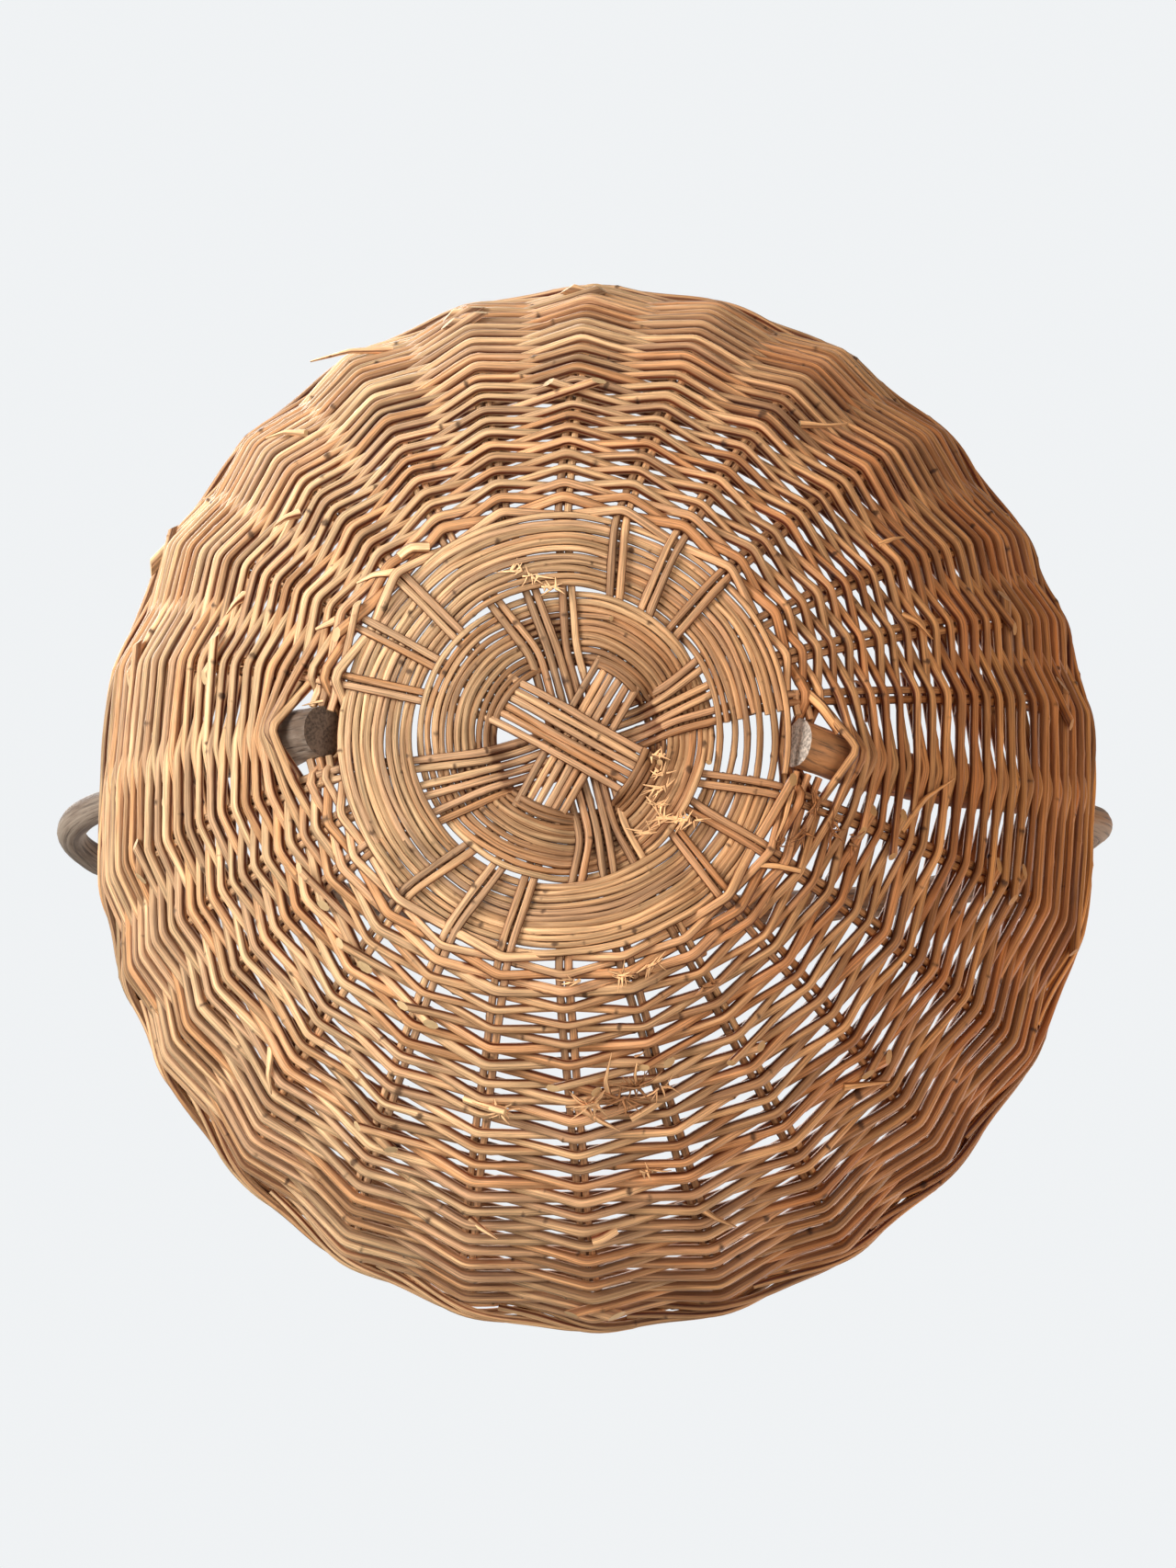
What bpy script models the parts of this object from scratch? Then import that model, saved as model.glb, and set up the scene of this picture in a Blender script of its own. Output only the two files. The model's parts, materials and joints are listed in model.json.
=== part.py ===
"""A round willow gathering basket with a bentwood hoop handle.

The basket stands upright. The origin is the middle of its underside, +Z points up
through the mouth, and the hoop handle stands over the X axis.

Twenty-four rods lie in twelve side-by-side pairs, three pairs to a bundle. The four
bundles cross in the middle of the base and each pair turns up at both ends as a stake of
the wall, so the wall has twenty-four stakes. The side is one long spiral of weavers, laid
end to end in ten bands: a weaver passes outside one stake and inside the next, and the
turn above does the opposite.
"""
import math

import bmesh
import bpy
from mathutils import Vector

# Rods and the weaving between them, in metres
ROD_DIAMETER = 0.0039
PAIR_WIDTH = 0.0078
PAIR_GAP = 0.0005
WEAVE_GAP = 0.0006
PAIR_MARGIN = 0.0014
PAIR_CREST_SHARE = 0.55

# Base, from the crossing in its middle to its rim
BASE_RADIUS = 0.1025
BASE_THICKNESS = 0.0034
BASE_DOME = 0.0060
FLAT_WIDTH = 0.0165
CROSS_REACH = 0.0330
ARM_DROP_RUN = 0.0100
CROSS_HEIGHT = 0.0052
INNER_BAND_SHARE = 0.363
BAND_SPACING = 0.0030
BAND_EDGE = 0.0036
BAND_EDGE_SHARE = 0.5

# Wall, measured at the middle of its stakes
FOOT_STEP = 0.0055
FOOT_RISE = 0.0015
RIM_HALF_LENGTH = 0.2375
RIM_HALF_WIDTH = 0.2510
RIM_HEIGHT = 0.1920
RIM_SHIFT = 0.0075
WALL_BULGE = 0.0205

# Side weaving, from the foot of the wall to its rim
LOW_WEAVER = 0.0036
HIGH_WEAVER = 0.0049
ROW_GAP = 0.0006
SIDE_GAP = 0.0004
FIRST_ROW = 0.0006
SIDE_END = 0.0030
JOINT_GAP = 0.0005
SIDE_BANDS = 10

# Rolled border
BORDER_WIDTH = 0.0170
BORDER_HEIGHT = 0.0150
BORDER_SEAT = 0.0010
BORDER_STROKES = 24
BORDER_GROOVE_SHARE = 0.12

# Hoop handle
PEG_RADIUS = 0.0120
LEG_RADIUS = 0.0100
KNEE_RADIUS = 0.0075
ARCH_RADIUS = 0.0085
HANDLE_GAP = 0.0008
PEG_END = 0.0060
LEG_REACH = 0.0430
LEG_CROSSING = 0.0175
LEG_PASS_SHARE = 0.80
HOOP_HALF_SPAN = 0.2540
HOOP_RISE = 0.1850
KNEE_SWAY = 0.0290

# How far each leg stands aside at its foot and at the rim, and how far it bows, by its turn
LEG_SWAYS = {0.0: (0.0030, -0.0090, 0.0050), 180.0: (0.0, 0.0, 0.0)}

# Counts and turns
LEG_TURNS = tuple(LEG_SWAYS)
BUNDLES = {
    # name: (turn, spread of its outer pairs, layer in the crossing, lowest first)
    "a": (28.0, 15.0, 0),
    "b": (73.0, 15.0, 2),
    "c": (118.0, 15.0, 1),
    "d": (158.5, 10.5, 3),
}
PAIR_PLACES = (-1, 0, 1)
ARM_SHARES = (0.0, 0.35, 0.7, 1.0)
WALL_STATIONS = 9
LEG_STATIONS = 11
LEG_CROWDING = 1.3
BORDER_SECTIONS = 72
BORDER_SIDES = 8
HANDLE_SIDES = 10
HOOP_STEPS = 3
OUTER_FLAT_STEPS = 4
INNER_FLAT_STEPS = 2
SMOOTH_ANGLE = math.radians(50.0)
PROBE_SHARE = 0.001
PROBE_TURN = 0.01

# The hoop above the rim: shares of the half span, of the sway and of the rise, and the
# share of the way from the arch's thickness to the knee's
HOOP_SHARES = (
    (-0.8300, 0.00, 0.160, 0.6),
    (-0.9250, -0.10, 0.260, 1.0),
    (-1.0040, 0.42, 0.360, 1.0),
    (-0.9550, 1.00, 0.480, 1.0),
    (-0.8600, 0.90, 0.640, 0.6),
    (-0.6100, 0.94, 0.855, 0.3),
    (-0.2300, 1.00, 0.985, 0.0),
    (0.2000, 0.92, 1.000, 0.0),
    (0.5900, 0.71, 0.880, 0.0),
    (0.8550, 0.42, 0.640, 0.0),
    (0.9790, 0.05, 0.400, 0.0),
    (0.9963, 0.01, 0.300, 0.0),
    (0.9500, 0.00, 0.215, 0.0),
    (0.8900, 0.00, 0.150, 0.0),
)

# Sizes worked out from the ones above
ROD_RADIUS = ROD_DIAMETER / 2
PAIR_HALF = PAIR_WIDTH / 2
PAIR_PITCH = PAIR_WIDTH + PAIR_GAP
DOME_RADIUS = BASE_RADIUS - FLAT_WIDTH
ARM_START = CROSS_REACH + ARM_DROP_RUN
INNER_BAND_START = ARM_START + WEAVE_GAP
INNER_BAND_END = INNER_BAND_START + (BASE_RADIUS - INNER_BAND_START) * INNER_BAND_SHARE
OUTER_BAND_START = INNER_BAND_END + BAND_SPACING
FOOT_RADIUS = BASE_RADIUS + FOOT_STEP
ARM_LEVEL = BASE_THICKNESS + WEAVE_GAP + ROD_RADIUS
LAYER_PITCH = ROD_DIAMETER + WEAVE_GAP
BAND_OFFSET = ROD_RADIUS + WEAVE_GAP + BASE_THICKNESS / 2
PAIR_CREST = PAIR_HALF * PAIR_CREST_SHARE
PAIR_FLAT = PAIR_HALF + PAIR_MARGIN
FOOT_HEIGHT = ARM_LEVEL + FOOT_RISE
LEG_INSET = BORDER_WIDTH / 2 + HANDLE_GAP + LEG_RADIUS
WALL_RUN = RIM_HALF_LENGTH - FOOT_RADIUS
WALL_RISE = RIM_HEIGHT - FOOT_HEIGHT
WALL_CHORD = math.hypot(WALL_RUN, WALL_RISE)
WALL_CURVE = (WALL_CHORD * WALL_CHORD / 4 + WALL_BULGE * WALL_BULGE) / (2 * WALL_BULGE)
WALL_HALF_ARC = math.asin(WALL_CHORD / 2 / WALL_CURVE)
WALL_LENGTH = 2 * WALL_HALF_ARC * WALL_CURVE
STAKE_SAG = (WALL_LENGTH / (WALL_STATIONS - 1)) ** 2 / (8 * WALL_CURVE)
ROWS_HEIGHT = WALL_LENGTH - SIDE_END - HIGH_WEAVER / 2 - FIRST_ROW
LOW_PITCH = LOW_WEAVER + ROW_GAP
CLOSEST_PITCH = (LOW_WEAVER + HIGH_WEAVER) / 2 + ROW_GAP
SIDE_ROWS = int(ROWS_HEIGHT / CLOSEST_PITCH)
PITCH_GROWTH = 2 * (ROWS_HEIGHT / SIDE_ROWS - LOW_PITCH)
UP = Vector((0.0, 0.0, 1.0))


def clear_scene():
    for item in list(bpy.data.objects):
        bpy.data.objects.remove(item, do_unlink=True)


def finish(name, colour, roughness):
    """A plain material with the part's own colour and roughness."""
    material = bpy.data.materials.new(name)
    material.use_nodes = True
    shader = material.node_tree.nodes["Principled BSDF"]
    shader.inputs["Base Color"].default_value = (*colour, 1.0)
    shader.inputs["Roughness"].default_value = roughness
    shader.inputs["Metallic"].default_value = 0.0
    return material


def ray(turn):
    """The level direction at a turn in degrees, counted from +X towards +Y."""
    angle = math.radians(turn)
    return Vector((math.cos(angle), math.sin(angle), 0.0))


def wall_point(turn, share):
    """The middle of the wall at a turn, a share of the way from its foot to its rim."""
    swing = (2 * share - 1) * WALL_HALF_ARC
    along = WALL_CURVE * math.sin(swing) + WALL_CHORD / 2
    sag = WALL_CURVE * (math.cos(swing) - math.cos(WALL_HALF_ARC))
    outward = (along * WALL_RUN + sag * WALL_RISE) / (WALL_CHORD * WALL_RUN)
    height = FOOT_HEIGHT + (along * WALL_RISE - sag * WALL_RUN) / WALL_CHORD
    level = ray(turn)
    foot = level * FOOT_RADIUS
    rim = Vector((RIM_SHIFT + level.x * RIM_HALF_LENGTH, level.y * RIM_HALF_WIDTH, 0.0))
    return foot.lerp(rim, outward) + UP * height


def wall_outward(turn, share):
    """The direction out of the wall, square to it."""
    along = wall_point(turn, share + PROBE_SHARE) - wall_point(turn, share - PROBE_SHARE)
    around = wall_point(turn + PROBE_TURN, share) - wall_point(turn - PROBE_TURN, share)
    return around.cross(along).normalized()


def wall_offset(turn, share, offset):
    return wall_point(turn, share) + wall_outward(turn, share) * offset


def level_radius(point):
    return math.hypot(point.x, point.y)


def make_body(name, sections, material, looped):
    """One closed body through a row of sections, each a ring of points in one order."""
    mesh = bpy.data.meshes.new(name)
    shape = bmesh.new()
    rings = [[shape.verts.new(point) for point in section] for section in sections]
    spans = list(zip(rings, rings[1:]))
    if looped:
        spans.append((rings[-1], rings[0]))
    for near, far in spans:
        for place, vertex in enumerate(near):
            following = (place + 1) % len(near)
            shape.faces.new((vertex, near[following], far[following], far[place]))
    if not looped:
        shape.faces.new(rings[0])
        shape.faces.new(rings[-1])
    bmesh.ops.recalc_face_normals(shape, faces=shape.faces)
    shape.to_mesh(mesh)
    shape.free()
    mesh.shade_smooth()
    mesh.set_sharp_from_angle(angle=SMOOTH_ANGLE)
    mesh.materials.append(material)
    body = bpy.data.objects.new(name, mesh)
    bpy.context.scene.collection.objects.link(body)
    return body


def arm_height(radius):
    """The height of the rods' middles under the base weave, which is domed inside."""
    inside = max(0.0, 1.0 - (radius / DOME_RADIUS) ** 2)
    return ARM_LEVEL + BASE_DOME * inside


def pair_ends():
    """Every stake as (bundle, place, end, turn): each pair makes a stake at both ends."""
    ends = []
    for bundle, (turn, spread, _) in BUNDLES.items():
        for place in PAIR_PLACES:
            ends.append((bundle, place, 1, (turn + place * spread) % 360.0))
            ends.append((bundle, place, -1, (turn + 180.0 - place * spread) % 360.0))
    return ends


def stake_turns():
    return sorted(end[3] for end in pair_ends())


def arm_points(bundle, place, end, stake_turn):
    """One half of a pair: the points of its middle and the direction it faces outside."""
    turn, _, layer = BUNDLES[bundle]
    along = ray(turn) * end
    aside = ray(turn + 90.0) * (place * PAIR_PITCH)
    stack_height = CROSS_HEIGHT + layer * LAYER_PITCH
    fan_start = along * ARM_START + aside
    fan_end = ray(stake_turn) * BASE_RADIUS
    points = [(along * CROSS_REACH + aside + UP * stack_height, -UP)]
    for share in ARM_SHARES:
        level = fan_start.lerp(fan_end, share)
        points.append((level + UP * arm_height(level_radius(level)), -UP))
    for station in range(WALL_STATIONS):
        share = station / (WALL_STATIONS - 1)
        points.append((wall_point(stake_turn, share), wall_outward(stake_turn, share)))
    return points


def make_pair(bundle, place, material):
    """Two rods side by side, from the rim down, across the base and up to the rim."""
    halves = {end: turn for name, spot, end, turn in pair_ends() if (name, spot) == (bundle, place)}
    turn, _, layer = BUNDLES[bundle]
    aside = ray(turn + 90.0) * (place * PAIR_PITCH)
    middle = (aside + UP * (CROSS_HEIGHT + layer * LAYER_PITCH), -UP)
    first = arm_points(bundle, place, 1, halves[1])
    second = arm_points(bundle, place, -1, halves[-1])
    path = list(reversed(first)) + [middle] + second
    outline = ((-PAIR_HALF, 0.0), (-PAIR_CREST, ROD_RADIUS), (PAIR_CREST, ROD_RADIUS),
               (PAIR_HALF, 0.0), (PAIR_CREST, -ROD_RADIUS), (-PAIR_CREST, -ROD_RADIUS))
    sections = []
    for spot, (point, outward) in enumerate(path):
        before = path[max(spot - 1, 0)][0]
        after = path[min(spot + 1, len(path) - 1)][0]
        along = (after - before).normalized()
        sideways = along.cross(outward).normalized()
        facing = sideways.cross(along).normalized()
        sections.append([point + sideways * wide + facing * deep for wide, deep in outline])
    place_number = PAIR_PLACES.index(place) + 1
    return make_body(f"stake_pair_{bundle}{place_number}", sections, material, False)


def arm_half_turn(bundle, inner_radius, outer_radius):
    """Half the turn that an arm's three pairs take up between two radii."""
    turn, spread, _ = BUNDLES[bundle]
    fan_start = ray(0.0) * ARM_START + ray(90.0) * PAIR_PITCH
    fan_end = ray(spread) * BASE_RADIUS
    widest = 0.0
    for radius in (inner_radius, (inner_radius + outer_radius) / 2, outer_radius):
        share = min(max((radius - ARM_START) / (BASE_RADIUS - ARM_START), 0.0), 1.0)
        line = fan_start.lerp(fan_end, share)
        reach = math.atan2(line.y, line.x) + PAIR_FLAT / level_radius(line)
        widest = max(widest, math.degrees(reach))
    return widest


def make_base_band(name, inner_radius, outer_radius, outside_arms, flat_steps, material):
    """A flat ring of base weaving, under the arms that it holds and over the others."""
    stations = ((inner_radius, BAND_EDGE_SHARE), (inner_radius + BAND_EDGE, 1.0),
                ((inner_radius + outer_radius) / 2, 1.0),
                (outer_radius - BAND_EDGE, 1.0), (outer_radius, BAND_EDGE_SHARE))
    sections = []
    for half in (0.0, 180.0):
        for bundle, (turn, _, _) in BUNDLES.items():
            side = -1.0 if bundle in outside_arms else 1.0
            half_turn = arm_half_turn(bundle, inner_radius, outer_radius)
            for step in range(flat_steps + 1):
                level = ray(half + turn + half_turn * (2 * step / flat_steps - 1))
                under, over = [], []
                for radius, thickness_share in stations:
                    middle = arm_height(radius) + side * BAND_OFFSET
                    deep = BASE_THICKNESS / 2 * thickness_share
                    under.append(level * radius + UP * (middle - deep))
                    over.append(level * radius + UP * (middle + deep))
                sections.append(under + over[::-1])
    return make_body(name, sections, material, True)


def leg_offset(share):
    """How far outside the middle of the wall the handle's leg lies."""
    return -LEG_INSET * math.tanh((share * WALL_LENGTH - LEG_CROSSING) / LEG_REACH)


def leg_radius(share):
    return PEG_RADIUS + (LEG_RADIUS - PEG_RADIUS) * share


def leg_aside(turn, share):
    """How far a leg stands aside from its turn, counted along the wall."""
    foot, rim, bow = LEG_SWAYS[turn]
    return foot + (rim - foot) * share + bow * 4 * share * (1 - share)


def leg_half_depth(share):
    """Half the leg's thickness through the wall, which it crosses at a slant."""
    change = leg_offset(share + PROBE_SHARE) - leg_offset(share - PROBE_SHARE)
    slope = change / (2 * PROBE_SHARE * WALL_LENGTH)
    return leg_radius(share) * math.hypot(1.0, slope)


def row_height(rows):
    """How far up the wall the spiral is after so many rows: the rows widen as it climbs."""
    return FIRST_ROW + LOW_PITCH * rows + PITCH_GROWTH * rows * rows / (2 * SIDE_ROWS)


def weaver_thickness(share):
    return LOW_WEAVER + (HIGH_WEAVER - LOW_WEAVER) * share


def stake_offset(turn, share, side, spacing):
    """How far from the wall's middle a weaver passes a stake that it bends round."""
    radius = level_radius(wall_point(turn, share))
    half_span = math.radians(spacing) * radius / 2
    sag = STAKE_SAG if side < 0 else 0.0
    touching = ROD_RADIUS + SIDE_GAP + sag + weaver_thickness(share) / 2
    return side * (touching + side * PAIR_CREST * half_span / radius) / (1 - PAIR_CREST / half_span)


def leg_passing(share):
    """How far from the wall's middle a weaver passes a leg: inside it low down, else outside."""
    room = leg_half_depth(share) + weaver_thickness(share) / 2 + HANDLE_GAP
    if share * WALL_LENGTH < LEG_CROSSING:
        return min(0.0, leg_offset(share) - room)
    return max(0.0, leg_offset(share) + room)


def stakes_of_row(row):
    """The stakes that one turn of the spiral passes, and the first one of the next turn."""
    turns = stake_turns()
    count = len(turns)
    stakes = []
    for spot in range(count + 1):
        turn = turns[spot % count] + 360.0 * (spot // count)
        before = turns[spot % count] - turns[spot % count - 1]
        after = turns[(spot + 1) % count] - turns[spot % count]
        share = row_height(row + turn / 360.0) / WALL_LENGTH
        side = 1.0 if (spot + row + spot // count) % 2 == 0 else -1.0
        offset = stake_offset(turn, share, side, min(before % 360.0, after % 360.0))
        stakes.append((turn, share, offset))
    return stakes


def aside_turn(turn, share, distance):
    return math.degrees(distance / level_radius(wall_point(turn, share)))


def leg_knots(leg_turn, row, near, far):
    """The bends of a weaver between two stakes that have a leg of the handle between them."""
    share = row_height(row + leg_turn / 360.0) / WALL_LENGTH
    passing = leg_passing(share)
    if passing == 0.0:
        return [(leg_turn, share, passing)]
    reach = aside_turn(leg_turn, share, leg_radius(share) * LEG_PASS_SHARE)
    middle = leg_turn + aside_turn(leg_turn, share, leg_aside(leg_turn % 360.0, share))
    knots = [(near[0] + aside_turn(*near[:2], PAIR_FLAT), *near[1:])]
    knots.append((middle - reach, share, passing))
    knots.append((middle + reach, share, passing))
    knots.append((far[0] - aside_turn(*far[:2], PAIR_FLAT), *far[1:]))
    return knots


def weaver_knots(first_row, last_row):
    """The bends of a band of weaving, as (turn, share of the wall, offset out of the wall)."""
    legs = sorted(turn or 360.0 for turn in LEG_TURNS)
    start = stakes_of_row(first_row)[0]
    knots = [(start[0] - aside_turn(*start[:2], PAIR_FLAT - JOINT_GAP), *start[1:])]
    for row in range(first_row, last_row):
        stakes = stakes_of_row(row)
        for near, far in zip(stakes, stakes[1:]):
            knots.append(near)
            for leg_turn in legs:
                if near[0] < leg_turn < far[0]:
                    knots += leg_knots(leg_turn, row, near, far)
    end_turn = far[0] - aside_turn(*far[:2], PAIR_FLAT)
    if knots[-1][0] < end_turn:
        knots.append((end_turn, *far[1:]))
    return knots


def make_side_band(number, first_row, last_row, material):
    """A few turns of the side's spiral as one weaver, square in section and set on edge."""
    knots = weaver_knots(first_row, last_row)
    points = [wall_offset(*knot) for knot in knots]
    sections = []
    for spot, (turn, share, _) in enumerate(knots):
        if 0 < spot < len(knots) - 1:
            along = (points[spot + 1] - points[spot - 1]).normalized()
        else:
            along = ray(turn + 90.0)
        sideways = along.cross(wall_outward(turn, share)).normalized()
        facing = sideways.cross(along)
        half = weaver_thickness(share) / 2
        sections.append([points[spot] + sideways * half, points[spot] + facing * half,
                         points[spot] - sideways * half, points[spot] - facing * half])
    return make_body(f"side_weave_{number + 1:02d}", sections, material, False)


def band_rows():
    """The row at which each band starts, and the last one's end: one band is below the legs."""
    below = sum(1 for row in range(SIDE_ROWS) if row_height(row) < LEG_CROSSING)
    above = SIDE_ROWS - below
    return [0] + [below + round(above * band / (SIDE_BANDS - 1)) for band in range(SIDE_BANDS)]


def make_border(material):
    """The rolled border: a ring with slanting strokes, seated on the ends of the stakes."""
    sections = []
    seat = RIM_HEIGHT + BORDER_SEAT + BORDER_HEIGHT / 2
    for step in range(BORDER_SECTIONS):
        turn = 360.0 * step / BORDER_SECTIONS
        level = ray(turn)
        centre = Vector((RIM_SHIFT + level.x * RIM_HALF_LENGTH, level.y * RIM_HALF_WIDTH, seat))
        points = []
        for side in range(BORDER_SIDES):
            angle = 2 * math.pi * side / BORDER_SIDES
            wave = math.cos(math.radians(turn) * BORDER_STROKES - angle)
            swell = 1.0 - BORDER_GROOVE_SHARE * (0.5 - 0.5 * wave)
            points.append(centre + level * (math.cos(angle) * swell * BORDER_WIDTH / 2)
                          + UP * (math.sin(angle) * swell * BORDER_HEIGHT / 2))
        sections.append(points)
    return make_body("rim_border", sections, material, True)


def leg_line(turn):
    """The leg inside the wall, from its peg end up to the rim: points and radii."""
    first = PEG_END / WALL_LENGTH
    line = []
    for station in range(LEG_STATIONS):
        share = first + (1.0 - first) * (station / (LEG_STATIONS - 1)) ** LEG_CROWDING
        aside = ray(turn + 90.0) * leg_aside(turn, share)
        line.append((wall_offset(turn, share, leg_offset(share)) + aside, leg_radius(share)))
    return line


def hoop_line():
    """The hoop above the rim, rounded through its few points: points and radii."""
    rim_centre = Vector((0.0, 0.0, RIM_HEIGHT))
    knots = []
    for across, sway, rise, knee in HOOP_SHARES:
        turn = LEG_TURNS[0] if across > 0 else LEG_TURNS[1]
        leaving = leg_aside(turn, 1.0) * (1.0 - rise) ** 2
        point = rim_centre + Vector((across * HOOP_HALF_SPAN, sway * KNEE_SWAY + leaving,
                                     rise * HOOP_RISE))
        knots.append((point, ARCH_RADIUS + (KNEE_RADIUS - ARCH_RADIUS) * knee))
    line = []
    for spot in range(len(knots) - 1):
        before = knots[max(spot - 1, 0)][0]
        start, start_radius = knots[spot]
        end, end_radius = knots[spot + 1]
        after = knots[min(spot + 2, len(knots) - 1)][0]
        for step in range(HOOP_STEPS):
            share = step / HOOP_STEPS
            leaving = (end - before) / 2
            arriving = (after - start) / 2
            square, cube = share * share, share ** 3
            point = (start * (2 * cube - 3 * square + 1) + leaving * (cube - 2 * square + share)
                     + end * (3 * square - 2 * cube) + arriving * (cube - square))
            line.append((point, start_radius + (end_radius - start_radius) * share))
    return line + [knots[-1]]


def make_handle(material):
    """One bent branch: a peg and leg on each side, joined by the hoop over the mouth."""
    right_leg = leg_line(LEG_TURNS[0])
    left_leg = leg_line(LEG_TURNS[1])
    line = left_leg + hoop_line() + right_leg[::-1]
    sections = []
    across = Vector((0.0, 1.0, 0.0))
    for spot, (point, radius) in enumerate(line):
        before = line[max(spot - 1, 0)][0]
        after = line[min(spot + 1, len(line) - 1)][0]
        along = (after - before).normalized()
        sideways = (across - along * across.dot(along)).normalized()
        facing = sideways.cross(along)
        across = sideways
        sections.append([
            point + sideways * (radius * math.cos(2 * math.pi * side / HANDLE_SIDES))
            + facing * (radius * math.sin(2 * math.pi * side / HANDLE_SIDES))
            for side in range(HANDLE_SIDES)])
    return make_body("hoop_handle", sections, material, False)


def main():
    clear_scene()
    stakes = finish("stake_willow", (0.37, 0.20, 0.095), 0.62)
    weaving = finish("weaver_willow", (0.52, 0.30, 0.13), 0.58)
    base_weaving = finish("base_willow", (0.48, 0.27, 0.12), 0.60)
    bark = finish("branch_bark", (0.24, 0.14, 0.08), 0.75)
    for bundle in BUNDLES:
        for place in PAIR_PLACES:
            make_pair(bundle, place, stakes)
    make_base_band("base_weave_inner", INNER_BAND_START, INNER_BAND_END, ("a", "c"),
                   INNER_FLAT_STEPS, base_weaving)
    make_base_band("base_weave_outer", OUTER_BAND_START, BASE_RADIUS, ("b", "d"),
                   OUTER_FLAT_STEPS, base_weaving)
    rows = band_rows()
    for number in range(SIDE_BANDS):
        make_side_band(number, rows[number], rows[number + 1], weaving)
    make_border(weaving)
    make_handle(bark)


if __name__ == "__main__":
    main()
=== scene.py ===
"""The looks of a round willow gathering basket with a bentwood hoop handle.

The basket stands upright on the floor, with its origin in the middle of its underside and
+Z up through the mouth. Turns are counted in degrees from +X towards +Y. Every rod of the
weave is a curve that is turned into a mesh, and keeps its straightened coordinates, its own
tone, its scars, its cut ends and which way each of its sides faces as attributes, which the
willow material reads; it paints shade on the sides that face the neighbouring rods. The side
is one long spiral of rods laid end to end.
"""

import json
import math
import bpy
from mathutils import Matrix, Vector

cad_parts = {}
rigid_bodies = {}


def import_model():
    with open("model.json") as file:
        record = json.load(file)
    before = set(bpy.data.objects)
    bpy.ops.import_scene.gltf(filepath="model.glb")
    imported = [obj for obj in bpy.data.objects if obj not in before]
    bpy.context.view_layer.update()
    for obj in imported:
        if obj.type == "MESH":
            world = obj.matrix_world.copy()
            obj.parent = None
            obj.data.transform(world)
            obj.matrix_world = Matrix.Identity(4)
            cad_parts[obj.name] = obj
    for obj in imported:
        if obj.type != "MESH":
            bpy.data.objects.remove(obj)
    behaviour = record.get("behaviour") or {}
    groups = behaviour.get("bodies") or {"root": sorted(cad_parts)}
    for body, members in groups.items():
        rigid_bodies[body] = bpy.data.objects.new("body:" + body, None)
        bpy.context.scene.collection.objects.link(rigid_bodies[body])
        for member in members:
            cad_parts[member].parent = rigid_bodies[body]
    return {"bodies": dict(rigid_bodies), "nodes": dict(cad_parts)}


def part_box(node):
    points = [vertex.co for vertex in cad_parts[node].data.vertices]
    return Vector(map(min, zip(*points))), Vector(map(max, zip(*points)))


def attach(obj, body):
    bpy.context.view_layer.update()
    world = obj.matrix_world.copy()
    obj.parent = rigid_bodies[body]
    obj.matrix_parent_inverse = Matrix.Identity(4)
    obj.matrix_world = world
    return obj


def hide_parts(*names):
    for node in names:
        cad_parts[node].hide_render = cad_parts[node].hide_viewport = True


bl_info = {
    "name": "Willow gathering basket",
    "version": (1, 0, 0),
    "blender": (4, 5, 0),
    "location": "3D View > Sidebar > Basket",
    "description": "Weaves a round willow basket rod by rod around its bentwood hoop handle",
    "category": "Object",
}

from dataclasses import dataclass, replace

import bpy
import numpy as np
from bpy.props import FloatProperty, FloatVectorProperty, IntProperty, PointerProperty
from mathutils import Vector, noise

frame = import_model()

BODY = next(iter(frame["bodies"]))
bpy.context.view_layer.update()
UP = np.array((0.0, 0.0, 1.0))

BASE_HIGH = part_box("base_weave_outer")[1]
BORDER_LOW, BORDER_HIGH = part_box("rim_border")
BORDER_HALF = (BORDER_HIGH.z - BORDER_LOW.z) / 2
SIDE_NODES = sorted(name for name in frame["nodes"] if name.startswith("side_weave"))

# The four bundles: turn, spread of the outer pairs, layer in the crossing counted from below
BUNDLES = {"a": (28.0, 15.0, 0), "b": (73.0, 15.0, 2), "c": (118.0, 15.0, 1), "d": (158.5, 10.5, 3)}
PAIR_PLACES = (-1, 0, 1)
STAKE_PITCH = 15.0

# Where a stake rod has its corners: from the hub, in shares of its arm, and up the wall
CROSSING_CORNERS = (0.008, 0.018)
ARM_CORNERS = (0.0, 0.12, 0.24, 0.4, 0.6, 0.8, 1.0)
WALL_CORNERS_START, WALL_CORNERS = 0.004, 12

# Where a base weaver has its corners, in shares of an arm and of the gap that follows it
ON_ARM = (0.05, 0.35, 0.65, 0.95)
AFTER_ARM = (0.2, 0.4, 0.6, 0.8)
CORNERS_PER_ARM = len(ON_ARM) + len(AFTER_ARM)

# The base
BUNDLE_GAP = 0.0005  # between the pairs of a bundle
ARM_MARGIN = 0.0045  # how far past an arm's outer pairs a weaver keeps its side
BASE_STRAY = 0.0002  # how far the rows stray up and down
INNER_OFF_MIDDLE = 0.55  # share of the crossing's offset that the innermost row follows
BROKEN_ROWS = (1, 3, 5, 7, 9)  # outer rows that are broken away between the last arm and the first

# The side's rows stray in waves: height, waves round the basket, climb and start of each
STRAY_WAVES = ((0.55, 3, 31.0, 0.0), (0.35, 7, -47.0, 1.3), (0.25, 11, 63.0, 4.0))

# How the side's rods pass a leg of the handle
INSIDE_ROOM = 0.0045  # what rods that pass inside it keep clear
OUTSIDE_ROOM = 0.0003  # what rods that pass outside it keep clear
STAKE_OFFSET = 0.004  # how far from the wall's middle they pass the stakes beside it
LEG_TO_STAKE = 0.03  # from its middle to those stakes
MOST_RISE = 0.006  # how far they rise above touching it at most
LEAST_OUT = 0.0015  # how far outside the wall's middle they stay at least
PUSH_BELOW = 0.001  # how far they are pushed up the wall below its crossing
PUSH_ABOVE = 0.0008  # and just above its crossing
PUSH_REACH = 0.03  # how far up the wall that push reaches
FINER_REACH = 20.0  # how many degrees from the right leg the rods are finer

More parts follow.
